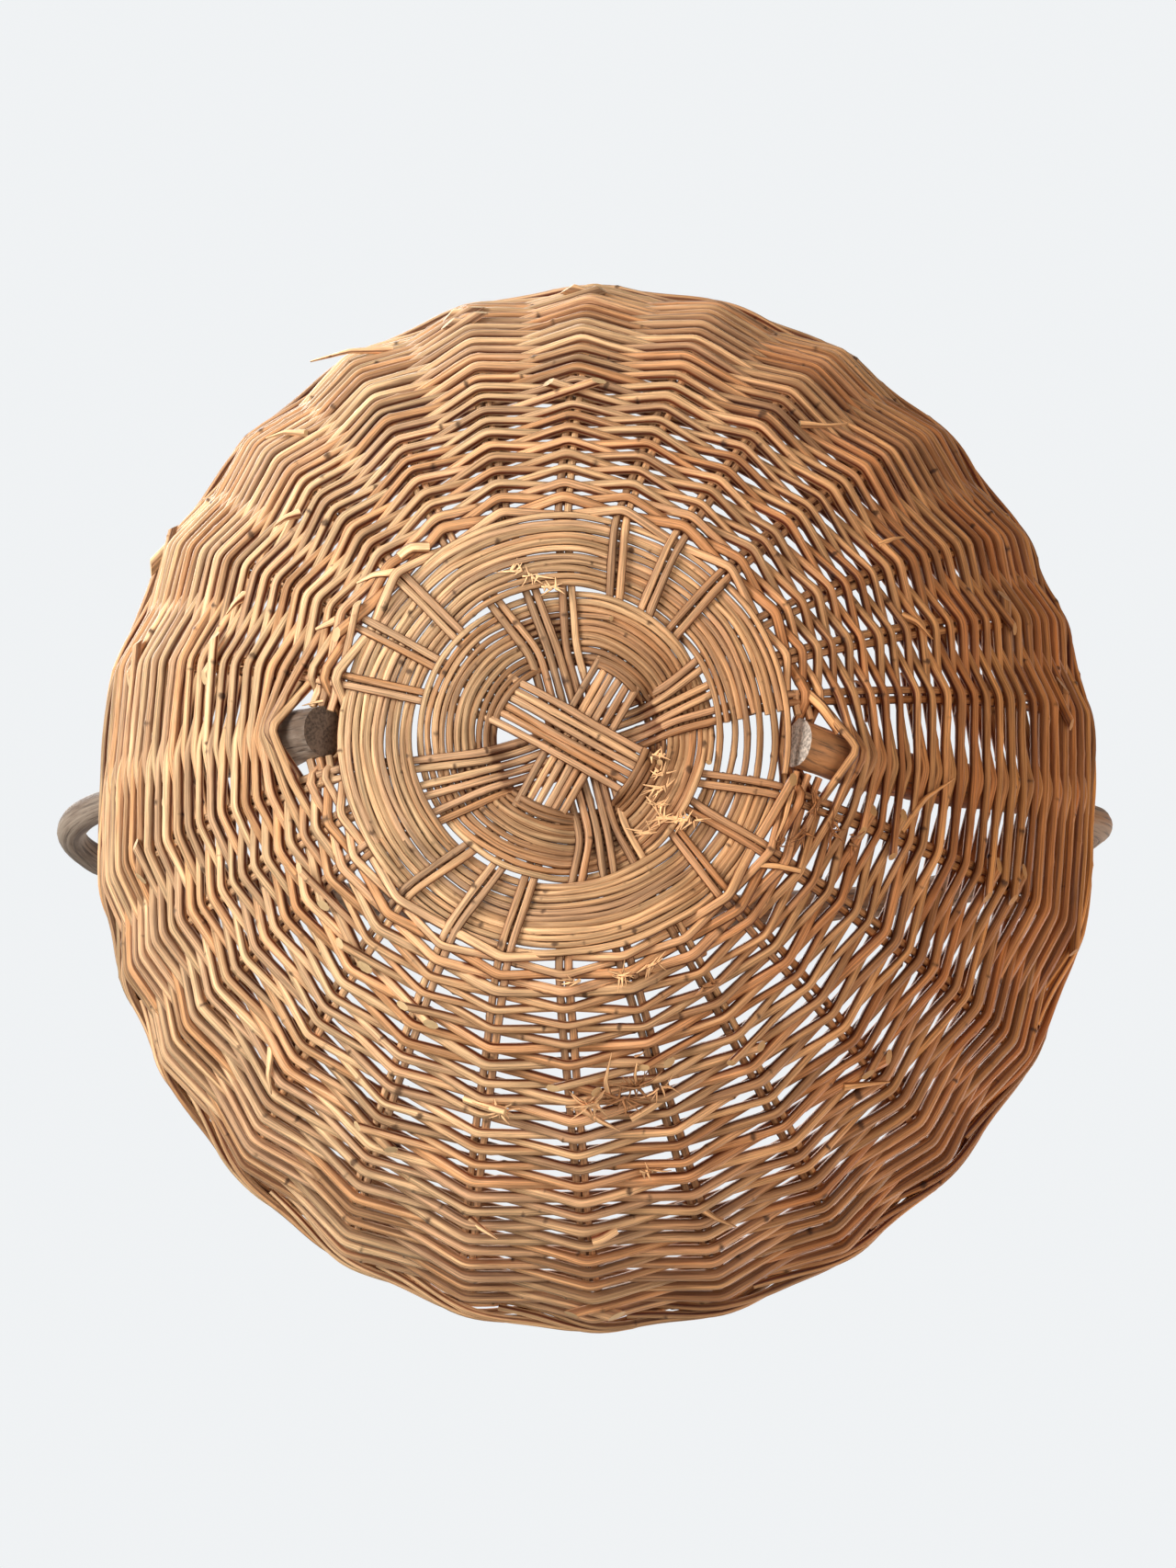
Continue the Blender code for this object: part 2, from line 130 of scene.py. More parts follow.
# How far each leg stands aside at its foot and at the rim, and how far it bows, by its turn
LEG_SWAYS = {0.0: (0.0030, -0.0090, 0.0050), 180.0: (0.0, 0.0, 0.0)}

# The hoop above the rim: shares of its half span, of its sway and of its rise, and how far
# its thickness has gone from the arch's to the knee's
HOOP_SHARES = (
    (-0.8300, 0.00, 0.160, 0.6),
    (-0.9350, 0.02, 0.260, 1.0),
    (-1.0080, 0.40, 0.360, 1.0),
    (-0.9550, 0.80, 0.480, 1.0),
    (-0.8550, 0.74, 0.640, 0.6),
    (-0.6100, 0.86, 0.855, 0.3),
    (-0.2300, 1.00, 0.985, 0.0),
    (0.2000, 0.92, 1.000, 0.0),
    (0.5900, 0.71, 0.880, 0.0),
    (0.8550, 0.42, 0.640, 0.0),
    (0.9790, 0.05, 0.400, 0.0),
    (0.9963, 0.01, 0.300, 0.0),
    (0.9500, 0.00, 0.215, 0.0),
    (0.8900, 0.00, 0.150, 0.0),
)

# The branch
PAST_TIP = 0.022  # how far its pegs run on before they are cut
BRANCH_RING_GAP = 0.003
BARK_SWELL = 0.0008
BARK_GRAIN = 0.00022
FLOOR_CLEARANCE = 0.0006  # between its pegs and the floor
PEG_TOP = 0.06  # the height below which its pegs are cut

# Broken rods on the wall: turn and place along the wall of the butt and of the tip, how far
# the tip stands out, thickness, and the share of it left at the tip
WALL_SPLINTERS = (
    ((82, 0.065), (80, 0.039), 0.0040, 0.0034, 0.10),
    ((77, 0.061), (76, 0.047), 0.0030, 0.0020, 0.60),
    ((76, 0.047), (74, 0.041), 0.0050, 0.0014, 0.25),
    ((72, 0.070), (79, 0.076), 0.0015, 0.0050, 0.75),
    ((87, 0.070), (81, 0.081), 0.0020, 0.0042, 0.25),
    ((106, 0.074), (99, 0.072), 0.0025, 0.0052, 0.80),
    ((103, 0.150), (99, 0.152), 0.0030, 0.0048, 0.20),
    ((73, 0.141), (69, 0.158), 0.0030, 0.0040, 0.20),
    ((84, 0.147), (87, 0.149), 0.0020, 0.0056, 0.90),
    ((12, 0.064), (2, 0.087), 0.0030, 0.0046, 0.15),
    ((348, 0.007), (357, 0.019), 0.0020, 0.0054, 0.90),
    ((336, 0.076), (341, 0.084), 0.0030, 0.0042, 0.20),
    ((32, 0.001), (28, 0.017), 0.0020, 0.0032, 0.90),
    ((12, 0.001), (25, 0.000), 0.0010, 0.0036, 0.30),
    ((233, 0.001), (226, 0.003), 0.0020, 0.0056, 0.90),
    ((223, 0.002), (215, 0.011), 0.0025, 0.0050, 0.20),
    ((206, 0.014), (202, 0.019), 0.0025, 0.0048, 0.30),
    ((204, 0.088), (200, 0.087), 0.0030, 0.0050, 0.20),
    ((219, 0.087), (215, 0.088), 0.0030, 0.0048, 0.20),
    ((187, 0.006), (185, 0.010), 0.0060, 0.0020, 0.20),
    ((324, 0.085), (325, 0.098), 0.0030, 0.0040, 0.15),
    ((243, 0.195), (234, 0.200), 0.0120, 0.0042, 0.20),
    ((228, 0.150), (224, 0.166), 0.0040, 0.0042, 0.20),
    ((302, 0.110), (307, 0.126), 0.0040, 0.0040, 0.20),
    ((48, 0.118), (43, 0.130), 0.0040, 0.0042, 0.25),
    ((137, 0.120), (133, 0.136), 0.0040, 0.0044, 0.20),
)

# Short rods packed in beside the pegs: turn and place along the wall of both their ends
PACKING_RODS = (
    ((193, 0.002), (185, 0.003)), ((193, 0.008), (186, 0.009)), ((193, 0.013), (186, 0.015)),
    ((167, 0.003), (174, 0.003)), ((167, 0.008), (174, 0.009)), ((167, 0.013), (174, 0.015)),
    ((347, 0.003), (353, 0.003)), ((347, 0.008), (354, 0.009)), ((14, 0.003), (7, 0.003)),
    ((14, 0.008), (7, 0.009)), ((14, 0.013), (7, 0.015)),
)

# The broken wood
SPLINTER_LIFT = 0.001  # how far it stands off the stakes and weavers
SPLINTER_BOW = 0.0015  # how far a broken rod bows out
BUTT_DEPTH = 0.003  # how far its butt is sunk in
PACKING_ROD = 0.0044  # thickness of the rods beside the pegs
PACKING_DEPTH = 0.001  # how far they dip into the wall
TUFT_HEIGHT = 0.0016  # height of the fibres under the base

# Torn fibres on the wall: turn, place along the wall, how many, how long, and whether dark
WALL_TUFTS = (
    (85, 0.066, 16, 0.011, False), (80, 0.065, 14, 0.010, True), (77, 0.060, 16, 0.011, True),
    (73, 0.064, 8, 0.008, False), (100, 0.073, 12, 0.008, False), (85, 0.005, 8, 0.006, False),
    (75, 0.005, 14, 0.008, False), (67, 0.005, 10, 0.007, False), (58, 0.025, 6, 0.006, True),
    (78, 0.108, 8, 0.006, False), (14, 0.012, 10, 0.008, True), (20, 0.011, 12, 0.008, True),
    (17, 0.025, 10, 0.008, True), (17, 0.037, 6, 0.006, True), (25, 0.003, 6, 0.007, True),
)

# Torn fibres under the base: X, Y, how many and how long
BASE_TUFTS = (
    (0.044, 0.009, 8, 0.005), (0.046, 0.017, 10, 0.005), (0.046, 0.024, 10, 0.006),
    (0.045, 0.032, 10, 0.006), (0.048, 0.038, 12, 0.007), (0.055, 0.039, 12, 0.007),
    (0.061, 0.039, 10, 0.006), (0.042, 0.045, 5, 0.008), (-0.024, -0.076, 9, 0.006),
    (-0.016, -0.074, 9, 0.006), (-0.008, -0.069, 9, 0.006),
)

# How a border strand turns round the rope as it runs: stake steps from its own stake, and
# the turn round the rope's middle in degrees, counted from outside upwards
BORDER_LAPS = ((0.0, 270.0), (0.3, 225.0), (1.0, 178.0), (1.5, 112.0), (2.0, 62.0), (2.5, 22.0),
               (3.0, -22.0), (3.4, -64.0), (3.8, -106.0))
BELOW_RIM = (0.010, 0.005)  # where a strand has its first corners, below the rim
BORDER_STEP = 0.15  # stake steps between its other corners

# How much redder and how light the willow of each kind of piece is; the base rods are
# made darker as painted shade, against the strong key lamp below them
WILLOWS = {
    "willow_stake_rods": (0.03, 0.82),
    "willow_base_rods": (0.05, 0.84),
    "willow_side_rods": (0.0, 1.0),
    "willow_split_wood": (-0.05, 1.05),
}

# The tones of the broken wood: how russet, how light and how weathered
PALE_SPLIT, DARK_SPLIT = (0.25, 0.75, 0.25), (0.85, 0.30, 0.35)

# Where the random draws start: of a piece's rods, and of their place in the skin's pattern
STAKE_SEEDS = (100, 200)
SIDE_SEEDS = (1000, 3000)
INNER_SEEDS = (4000, 4001)
OUTER_SEEDS = (4100, 4101)
BORDER_SEEDS = (5000, 5100)
BROKEN_SEEDS = (6000, 6001)
HANDLE_SEEDS = (7000, 7001)
BARK_SEED = 7100

# The lamps: place, size and power
LAMPS = {
    "key_below": ((-2.2, -0.6, -1.9), 1.8, 115.0),
    "fill_below": ((1.3, 0.6, -2.6), 2.4, 62.0),
    "key_above": ((-1.4, -1.8, 2.4), 2.0, 100.0),
    "fill_above": ((2.2, 1.6, 2.0), 2.4, 60.0),
}
LAMP_AIM = (0.0, 0.0, 0.12)

# The floor
FLOOR_SIZE = 40.0
FLOOR_DROP = 0.0005  # how far it lies under the basket
FLOOR_SHADE = 0.45  # share of the backdrop's colour that it has
GLOW_NEAR, GLOW_FAR = 0.55, 0.98  # shares that it glows with near the basket and far from it
GLOW_FADE = (1.5, 8.0)  # from where to where the glow grows


def length(name, default, words):
    return FloatProperty(name=name, description=words, default=default, unit="LENGTH", precision=5)


def colour(name, default, words):
    return FloatVectorProperty(name=name, description=words, default=default, subtype="COLOR",
                               min=0.0, max=1.0)


def facing(name, default, words):
    return FloatVectorProperty(name=name, description=words, default=default, subtype="DIRECTION")


def position(name, default, words):
    return FloatVectorProperty(name=name, description=words, default=default,
                               subtype="TRANSLATION", unit="LENGTH", precision=5)


class BasketForm(bpy.types.PropertyGroup):
    """The shape that the rods follow."""
    base_radius: length("Base radius", BASE_HIGH.x, "Radius of the woven base")
    base_dome: length("Base dome", 0.0060, "How far the middle of the base is domed up")
    dome_radius: length("Dome radius", 0.0860, "Radius of the domed part of the base")
    arm_level: length("Arm level", 0.00595, "Height of the base rods at the edge of the base")
    cross_height: length("Crossing height", 0.0052, "Height of the lowest bundle in the crossing")
    layer_pitch: length("Layer pitch", 0.0045, "Height from one bundle of the crossing to the next")
    cross_reach: length("Crossing reach", 0.0310, "Where the arms leave the crossing")
    arm_start: length("Arm start", 0.0450, "Where the arms reach the level of the base weave")
    hub: position("Hub", (0.0070, 0.0020, 0.0), "How far the crossing lies off the base's middle")
    inner_start: length("Inner band start", 0.0350, "Radius of the inner base band's first row")
    inner_end: length("Inner band end", 0.0690, "Radius past the inner base band's last row")
    outer_start: length("Outer band start", 0.0705, "Radius of the outer base band's first row")
    outer_end: length("Outer band end", 0.1045, "Radius past the outer base band's last row")
    foot_radius: length("Foot radius", BASE_HIGH.x + 0.0055, "Radius of the wall's foot")
    foot_height: length("Foot height", 0.00745, "Height of the wall's foot")
    rim_shift: length("Rim shift", 0.0075, "How far the rim sits towards +X")
    rim_half_length: length("Rim half length", 0.2375, "Half the rim's length along X")
    rim_half_width: length("Rim half width", 0.2510, "Half the rim's width along Y")
    rim_height: length("Rim height", 0.1920, "Height of the rim, under its border")
    wall_bulge: length("Wall bulge", 0.0205, "How far the wall bellies out from its chord")


class RodSizes(bpy.types.PropertyGroup):
    """Thickness and spacing of the willow rods."""
    stake: length("Stake rod", 0.0039, "Diameter of the stake rods")
    pair_gap: length("Pair gap", 0.0006, "Gap between the two rods of a stake")
    low_weaver: length("Low weaver", 0.0042, "Diameter of the side weavers near the base")
    high_weaver: length("High weaver", 0.0049, "Diameter of the side weavers near the rim")
    rows: IntProperty(name="Rows", description="Rows of side weaving", default=46, min=20, max=60)
    low_pitch: length("Low pitch", 0.0042, "Spacing of the rows near the base")
    first_row: length("First row", -0.0034, "Where the first row lies, along the wall")
    side_end: length("Side end", -0.0010, "How far below the rim the last row's top lies")
    row_stray: length("Row stray", 0.0012, "How far the rows stray from level")
    corner: length("Corner rounding", 0.0040, "How much of a rod its kink at a stake takes up")
    inner_base: length("Inner base weaver", 0.0036, "Diameter of the inner base weavers")
    outer_base: length("Outer base weaver", 0.0038, "Diameter of the outer base weavers")
    base_rows: IntProperty(name="Base rows", description="Rows of each base band", default=11,
                           min=4, max=14)
    finer_share: FloatProperty(name="Finer share", default=0.08, min=0.0, max=0.5, subtype="FACTOR",
                               description="How much finer the rods are in front of the right leg")
    border: length("Border rod", 0.0043, "Diameter of the border strands")
    strand_gap: length("Strand gap", 0.0001, "Gap between the two rods of a border strand")
    border_coil: length("Border coil", 0.0058, "How far the strands turn round the border's middle")
    border_lift: length("Border lift", 0.0010, "How far the border sits above its place in the rim")
    scallop: length("Border scallop", 0.0016, "How far the border swings out at the stakes")
    border_inset: length("Border inset", 0.0008, "How far the border sits inside the rim")
    outside_joints: FloatProperty(name="Outside joints", default=0.7, min=0.0, max=1.0,
                                  description="Share of the outer stakes where rods may meet",
                                  subtype="FACTOR")
    shortest: length("Shortest rod", 0.75, "Length of the shortest weavers from butt to tip")
    longest: length("Longest rod", 1.35, "Length of the longest weavers from butt to tip")
    shortest_base: length("Shortest base rod", 0.55, "Length of the shortest weavers of the base")
    longest_base: length("Longest base rod", 1.05, "Length of the longest weavers of the base")


class WillowColours(bpy.types.PropertyGroup):
    """Colours of the rods."""
    golden: colour("Golden willow", (0.94, 0.600, 0.315), "Tan of the sound rods")
    russet: colour("Russet willow", (0.62, 0.310, 0.135), "Red-brown rods")
    weathered: colour("Weathered willow", (0.68, 0.405, 0.225), "Dull brown rods with skin on")
    # Painted shade: the rods are darkened and browned towards this tint on the +X side, away from
    # the key lamp
    painted_shade_side: colour("Browner side", (0.62, 0.365, 0.175), "Tint of the rods on the +X side")
    scar: colour("Leaf scar", (0.10, 0.050, 0.025), "Scars and dirt at the nodes")
    # Painted shade: the sides of the rods that face their neighbouring rows are darkened towards
    # this colour
    painted_shade: colour("Grime", (0.15, 0.045, 0.016), "Tint of the rods' sheltered sides")
    pith: colour("Fresh cut", (0.84, 0.580, 0.300), "Cut ends and splits")


class BranchForm(bpy.types.PropertyGroup):
    """Sizes and colours of the bentwood handle."""
    peg_radius: length("Peg radius", 0.0120, "Radius of the branch at its peg ends")
    leg_radius: length("Leg radius", 0.0100, "Radius of the branch at the rim")
    knee_radius: length("Knee radius", 0.0075, "Radius of the branch at its knee")
    arch_radius: length("Arch radius", 0.0085, "Radius of the branch over the mouth")
    leg_inset: length("Leg inset", 0.0193, "How far the legs stand inside the rim")
    leg_reach: length("Leg reach", 0.0430, "How gently the legs cross the wall")
    leg_crossing: length("Leg crossing", 0.0175, "Where the legs cross the wall, along the wall")
    peg_end: length("Peg end", 0.0240, "Where the pegs leave the line of the legs, along the wall")
    right_tip: position("Right tip", (0.1080, -0.0008, 0.0122), "Middle of the right peg's face")
    left_tip: position("Left tip", (-0.1115, 0.0, 0.0105), "Middle of the left peg's face")
    right_cut: facing("Right cut", (-0.77, -0.05, -0.64), "Which way the right peg's face looks")
    left_cut: facing("Left cut", (0.73, 0.05, -0.68), "Which way the left peg's face looks")
    half_span: length("Hoop half span", 0.2540, "Half the hoop's span")
    rise: length("Hoop rise", 0.1850, "Height of the hoop over the rim")
    sway: length("Knee sway", 0.0290, "How far the knee leans along Y")
    bark: colour("Bark", (0.155, 0.100, 0.065), "Dark bark")
    worn: colour("Worn bark", (0.40, 0.315, 0.24), "Grey-taupe worn bark")
    rind: colour("Rind", (0.60, 0.25, 0.085), "Orange-brown rind of the legs")
    # Partly painted light: the right face is pale weathered wood, made paler still to stand in for
    # light that the base's outer rods shade off it
    right_wood_lightened: colour("Right face", (0.62, 0.50, 0.40), "Whittled face of the right peg")
    left_wood: colour("Left face", (0.15, 0.095, 0.062), "Whittled face of the left peg")


class StudioSettings(bpy.types.PropertyGroup):
    """Camera and light."""
    camera_place: FloatVectorProperty(
        name="Camera place", description="Where the camera stands, under the basket",
        default=(0.1693, 0.5807, -3.4038), subtype="TRANSLATION", unit="LENGTH")
    camera_turn: FloatVectorProperty(
        name="Camera turn", description="The camera's rotation", subtype="EULER",
        default=tuple(math.radians(angle) for angle in (-170.627, -2.322, -1.902)))
    lens: FloatProperty(name="Lens", description="Focal length on a 36 mm sensor", default=229.0,
                        unit="CAMERA")
    backdrop: colour("Backdrop", (0.870, 0.890, 0.905), "Pale floor and surroundings")
    ambient: colour("Ambient light", (1.0, 0.93, 0.85), "Light from all round")
    ambient_power: FloatProperty(name="Ambient power", default=0.06, min=0.0, max=1.0,
                                 description="Strength of the light from all round")


# Sizes worked out from the settings

def settings():
    return bpy.context.scene.basket_form, bpy.context.scene.rod_sizes, bpy.context.scene.branch_form


class Wall:
    """The middle of the wall, where its stakes run."""

    def __init__(self, form):
        self.form = form
        self.run = form.rim_half_length - form.foot_radius
        self.rise = form.rim_height - form.foot_height
        self.chord = math.hypot(self.run, self.rise)
        self.curve = (self.chord ** 2 / 4 + form.wall_bulge ** 2) / (2 * form.wall_bulge)
        self.half_arc = math.asin(self.chord / 2 / self.curve)
        self.length = 2 * self.half_arc * self.curve

    def point(self, turn, along):
        """The point at a turn, some way up the wall from its foot."""
        swing = (2 * along / self.length - 1) * self.half_arc
        reach = self.curve * math.sin(swing) + self.chord / 2
        sag = self.curve * (math.cos(swing) - math.cos(self.half_arc))
        outward = (reach * self.run + sag * self.rise) / (self.chord * self.run)
        height = self.form.foot_height + (reach * self.rise - sag * self.run) / self.chord
        foot = ray(turn) * self.form.foot_radius
        return foot + (rim_point(self.form, turn) - foot) * outward + UP * height

    def outward(self, turn, along, nudge=0.0005):
        """The direction straight out of the wall."""
        upward = self.point(turn, along + nudge) - self.point(turn, along - nudge)
        return unit(np.cross(self.around(turn, along), upward))

    def around(self, turn, along, nudge=0.05):
        """The direction along the wall towards growing turns."""
        return unit(self.point(turn + nudge, along) - self.point(turn - nudge, along))

    def offset(self, turn, along, outside):
        return self.point(turn, along) + self.outward(turn, along) * outside

    def stray(self, turn, along):
        """How far the rows stray from level, least at the foot and at the rim."""
        angle = math.radians(turn)
        middle = math.sin(math.pi * min(max(along / self.length, 0.0), 1.0)) ** 0.5
        return middle * sum(height * math.sin(waves * angle + climb * along + start)
                            for height, waves, climb, start in STRAY_WAVES)


def ray(turn):
    """The level direction at a turn."""
    angle = math.radians(turn)
    return np.array((math.cos(angle), math.sin(angle), 0.0))


def unit(vector):
    return vector / max(np.linalg.norm(vector), 1e-12)


def smooth_step(low, high, value):
    share = min(max((value - low) / (high - low), 0.0), 1.0)
    return share * share * (3 - 2 * share)


def rim_point(form, turn, height=0.0):
    """A point on the rim's outline, at some height."""
    level = ray(turn)
    return np.array((form.rim_shift + level[0] * form.rim_half_length,
                     level[1] * form.rim_half_width, height))


def stake_turn(bundle, place, end):
    """The turn of the stake that one end of a pair makes."""
    turn, spread, _ = BUNDLES[bundle]
    return (turn + place * spread if end > 0 else turn + 180.0 - place * spread) % 360.0


def stake_turns():
    """The turns of all the stakes: each pair of rods makes a stake at both its ends."""
    return sorted(stake_turn(bundle, place, end)
                  for bundle in BUNDLES for place in PAIR_PLACES for end in (1, -1))


def pair_offset(rods, place, side):
    """How far one rod of a pair lies from the middle of its bundle."""
    return place * (2 * rods.stake + BUNDLE_GAP) + side * (rods.stake + rods.pair_gap) / 2


def arm_height(form, bundle, spot):
    """Height of a bundle's rods: stacked at the hub, level with the rest further out."""
    from_hub = np.linalg.norm((spot - np.array(form.hub))[:2])
    stacked = form.cross_height + BUNDLES[bundle][2] * form.layer_pitch
    dome = max(0.0, 1.0 - (np.linalg.norm(spot[:2]) / form.dome_radius) ** 2)
    domed = form.arm_level + form.base_dome * dome
    return stacked + (domed - stacked) * smooth_step(form.cross_reach, form.arm_start, from_hub)


def row_height(rods, wall, rows):
    """How far up the wall the spiral is after so many rows: the rows widen as it climbs."""
    whole = wall.length - rods.side_end - rods.high_weaver / 2 - rods.first_row
    growth = 2 * (whole / rods.rows - rods.low_pitch)
    return rods.first_row + rods.low_pitch * rows + growth * rows * rows / (2 * rods.rows)


def band_rows(rods, branch, wall):
    """The row at which each band starts, and the last one's end: one band is below the legs."""
    below = sum(1 for row in range(rods.rows) if row_height(rods, wall, row) < branch.leg_crossing)
    above = rods.rows - below
    upper_bands = len(SIDE_NODES) - 1
    return [0] + [below + round(above * band / upper_bands) for band in range(upper_bands + 1)]


def leg_offset(branch, along):
    """How far outside the middle of the wall the handle's leg lies."""
    return -branch.leg_inset * math.tanh((along - branch.leg_crossing) / branch.leg_reach)


def leg_radius(branch, wall, along):
    return branch.peg_radius + (branch.leg_radius - branch.peg_radius) * along / wall.length


def leg_aside(turn, share):
    """How far a leg stands aside from its turn, counted along the wall."""
    foot, rim, bow = LEG_SWAYS[turn]
    return foot + (rim - foot) * share + bow * 4 * share * (1 - share)


# Rods

STEP = 0.001  # between a rod's points while it is bent
ROD_SIDES = 8
RING_GAP = 0.0065  # between its rings on a straight stretch
RING_TURN = math.radians(13.0)  # the sharpest turn between two rings
CLOSEST_RINGS = 0.0009
CAP_STEP = 0.00004  # between the rings that close an end
CAP_SHARE = 0.9  # how much of the end's width the first of them has
END_PARTING = 0.40  # how far two ends that meet are parted, in rod thicknesses

WANDER_GAP = 0.022  # between a rod's wanderings
LUMP_GAP = 0.014  # between its swellings
LUMPINESS = 0.050  # how thick the swellings are
OVERRUN = 0.05  # how far past its end both are worked out
FLOOR_SHARE = 0.55  # how far its middle stays above the floor, in rod thicknesses

SCAR_GAPS = (0.6, 1.6)  # the least and the most between two scars, in shares of the usual gap
SCAR_MARGIN = 0.004  # what scars keep clear of a rod's ends
SCAR_RINGS = (-0.0022, 0.0, 0.0022)  # where the rings around a scar lie
SCAR_DEPTHS = (0.35, 1.0)
SCAR_LENGTHS = (0.0011, 0.0026)
SCAR_SWELL = 0.03  # how much wider the rod is at a scar
BUD_SWELL = 0.28  # how far its bud stands out there

# These give the direction out of the basket, against which the sides of the rods that face their
# neighbours are found for painted shade
UNDERSIDE_TOP = 0.013  # what lies lower looks straight down
FOOT_TILT = 0.97  # how far the foot of the wall looks down, in radians
TILT_LOSS = 0.72  # how much less the rim does


@dataclass
class Rod:
    """One willow rod: its line, its thickness and what the material needs to know of it."""
    line: np.ndarray
    radii: np.ndarray
    lengths: np.ndarray
    tone: tuple
    scars: np.ndarray
    scar_turns: np.ndarray
    cuts: np.ndarray
    slants: tuple = (None, None)


def reach_along(points):
    """How far along a line each of its points lies."""
    steps = np.linalg.norm(np.diff(np.asarray(points), axis=0), axis=1)
    return np.concatenate(([0.0], np.cumsum(steps)))


def points_at(places, reach, points):
    """The points that lie at some places along a line."""
    return np.stack([np.interp(places, reach, part) for part in points.T], axis=1)


def drifting(places, whole, gap, amount, rng):
    """A value that drifts around 0 along a rod."""
    knots = np.arange(0.0, whole + OVERRUN, gap)
    return np.interp(places, knots, rng.normal(0.0, amount, len(knots)))


def rounded(corners, rounding, wander, rng):
    """A rod's line through its corners: straight runs, rounded kinks and a slight wander."""
    corners = np.array(corners)
    reach = reach_along(corners)
    places = np.linspace(0.0, reach[-1], max(int(reach[-1] / STEP) + 1, 6))
    knots = np.arange(0.0, reach[-1] + OVERRUN, WANDER_GAP)
    drift = rng.normal(0.0, wander, (len(knots), 3))
    line = points_at(places, reach, corners) + points_at(places, knots, drift)
    half = max(int(rounding / STEP / 2), 1)
    kernel = np.ones(2 * half + 1) / (2 * half + 1)
    for _ in range(2):
        before = line[0] + (line[0] - line[1]) * np.arange(half, 0, -1)[:, None]
        after = line[-1] + (line[-1] - line[-2]) * np.arange(1, half + 1)[:, None]
        padded = np.concatenate((before, line, after))
        line = np.stack([np.convolve(part, kernel, "valid") for part in padded.T], axis=1)
    return line


def flowing(corners):
    """More corners along a smooth curve through a branch's corners."""
    corners = np.array(corners)
    ways = np.gradient(corners, axis=0)
    ways /= np.linalg.norm(ways, axis=1)[:, None]
    points = [corners[0]]
    for spot in range(len(corners) - 1):
        start, ending = corners[spot], corners[spot + 1]
        apart = np.linalg.norm(ending - start)
        for share in np.linspace(0.125, 1.0, 8):
            points.append(start + (ending - start) * smooth_step(0.0, 1.0, share)
                          + ways[spot] * apart * share * (1 - share) ** 2
                          - ways[spot + 1] * apart * share ** 2 * (1 - share))
    return points


def stations(line, scar_places):
    """Where a rod's rings go: closer together in its kinks and at its scars."""
    runs = np.diff(line, axis=0)
    steps = np.linalg.norm(runs, axis=1)
    reach = reach_along(line)
    heading = runs / steps[:, None]
    turning = np.arccos(np.clip(np.sum(heading[1:] * heading[:-1], axis=1), -1.0, 1.0))
    cost = steps / RING_GAP
    cost[1:] += turning / RING_TURN / 2
    cost[:-1] += turning / RING_TURN / 2
    total = np.concatenate(([0.0], np.cumsum(cost)))
    places = np.interp(np.linspace(0.0, total[-1], int(total[-1]) + 3), total, reach)
    extra = [place + step for place in scar_places for step in SCAR_RINGS]
    places = np.unique(np.concatenate((places, np.clip(extra, 0.0, reach[-1]))))
    keep = np.concatenate(([True], np.diff(places) > min(CLOSEST_RINGS, reach[-1] / 6)))
    return points_at(places[keep], reach, line), places[keep]


def lay_rod(corners, thickness, tone, rng, rounding=0.006, wander=0.00022, slants=(None, None),
            scar_gap=0.036):
    """A rod through its corners, from its butt to its tip, with buds and scars on one side."""
    line = rounded(corners, rounding, wander, rng)
    line[:, 2] = np.maximum(line[:, 2], max(thickness) * FLOOR_SHARE)
    whole = np.linalg.norm(np.diff(line, axis=0), axis=1).sum()
    least, most = (share * scar_gap for share in SCAR_GAPS)
    gaps = rng.uniform(least, most, int(whole / scar_gap / SCAR_GAPS[0]) + 2)
    scar_places = np.cumsum(gaps) - rng.uniform(0.0, scar_gap)
    scar_places = scar_places[(scar_places > SCAR_MARGIN) & (scar_places < whole - SCAR_MARGIN)]
    spots, places = stations(line, scar_places)
    share = places / whole
    radii = (thickness[0] + (thickness[1] - thickness[0]) * share) / 2
    radii *= 1.0 + drifting(places, whole, LUMP_GAP, LUMPINESS, rng)
    scars = np.zeros(len(places))
    scar_turns = np.zeros(len(places))
    for place in scar_places:
        depth = rng.uniform(*SCAR_DEPTHS)
        mark = depth * np.exp(-((places - place) / rng.uniform(*SCAR_LENGTHS)) ** 2)
        scar_turns = np.where(mark > scars, rng.uniform(0.0, 2 * math.pi), scar_turns)
        scars = np.maximum(scars, mark)
    radii *= 1.0 + SCAR_SWELL * scars
    spots, radii = closed(spots, radii, CAP_STEP, CAP_SHARE)
    cuts = np.pad(np.zeros(len(places)), 2, constant_values=1.0)
    return Rod(spots, radii, np.pad(places, 2, mode="edge"), tone, np.pad(scars, 2),
               np.pad(scar_turns, 2), cuts, slants)


def closed(spots, radii, step, shoulder):
    """Adds two close rings at each end of a rod: a slightly narrower one and a point."""
    first = unit(spots[0] - spots[1]) * step
    last = unit(spots[-1] - spots[-2]) * step
    spots = np.concatenate((spots[:1] + first * 2, spots[:1] + first, spots,
                            spots[-1:] + last, spots[-1:] + last * 2))
    return spots, np.concatenate(((0.0, radii[0] * shoulder), radii, (radii[-1] * shoulder, 0.0)))


def rod_tone(rng, russet=0.5, weathered=0.5):
    """How russet, how light and how weathered a rod is, each from 0 to 1."""
    return (float(np.clip(rng.normal(russet, 0.22), 0.0, 1.0)),
            float(np.clip(rng.normal(0.5, 0.20), 0.0, 1.0)),
            float(np.clip(rng.normal(weathered, 0.24), 0.0, 1.0)))


def select_only(piece):
    bpy.ops.object.select_all(action="DESELECT")
    piece.select_set(True)
    bpy.context.view_layer.objects.active = piece


def slant_ends(places, rod, first, last):
    """Cuts a rod's ends at a slant: each slant is a direction times how steep the cut is."""
    for slant, lowest, end, inner in ((rod.slants[0], first, 0, 2),
                                      (rod.slants[1], last - 3, -1, -3)):
        if slant is not None:
            axis = unit(rod.line[end] - rod.line[inner])
            for ring in range(lowest, lowest + 4):
                side = (places[ring] - rod.line[ring - first]) @ slant
                places[ring] -= axis * side[:, None]


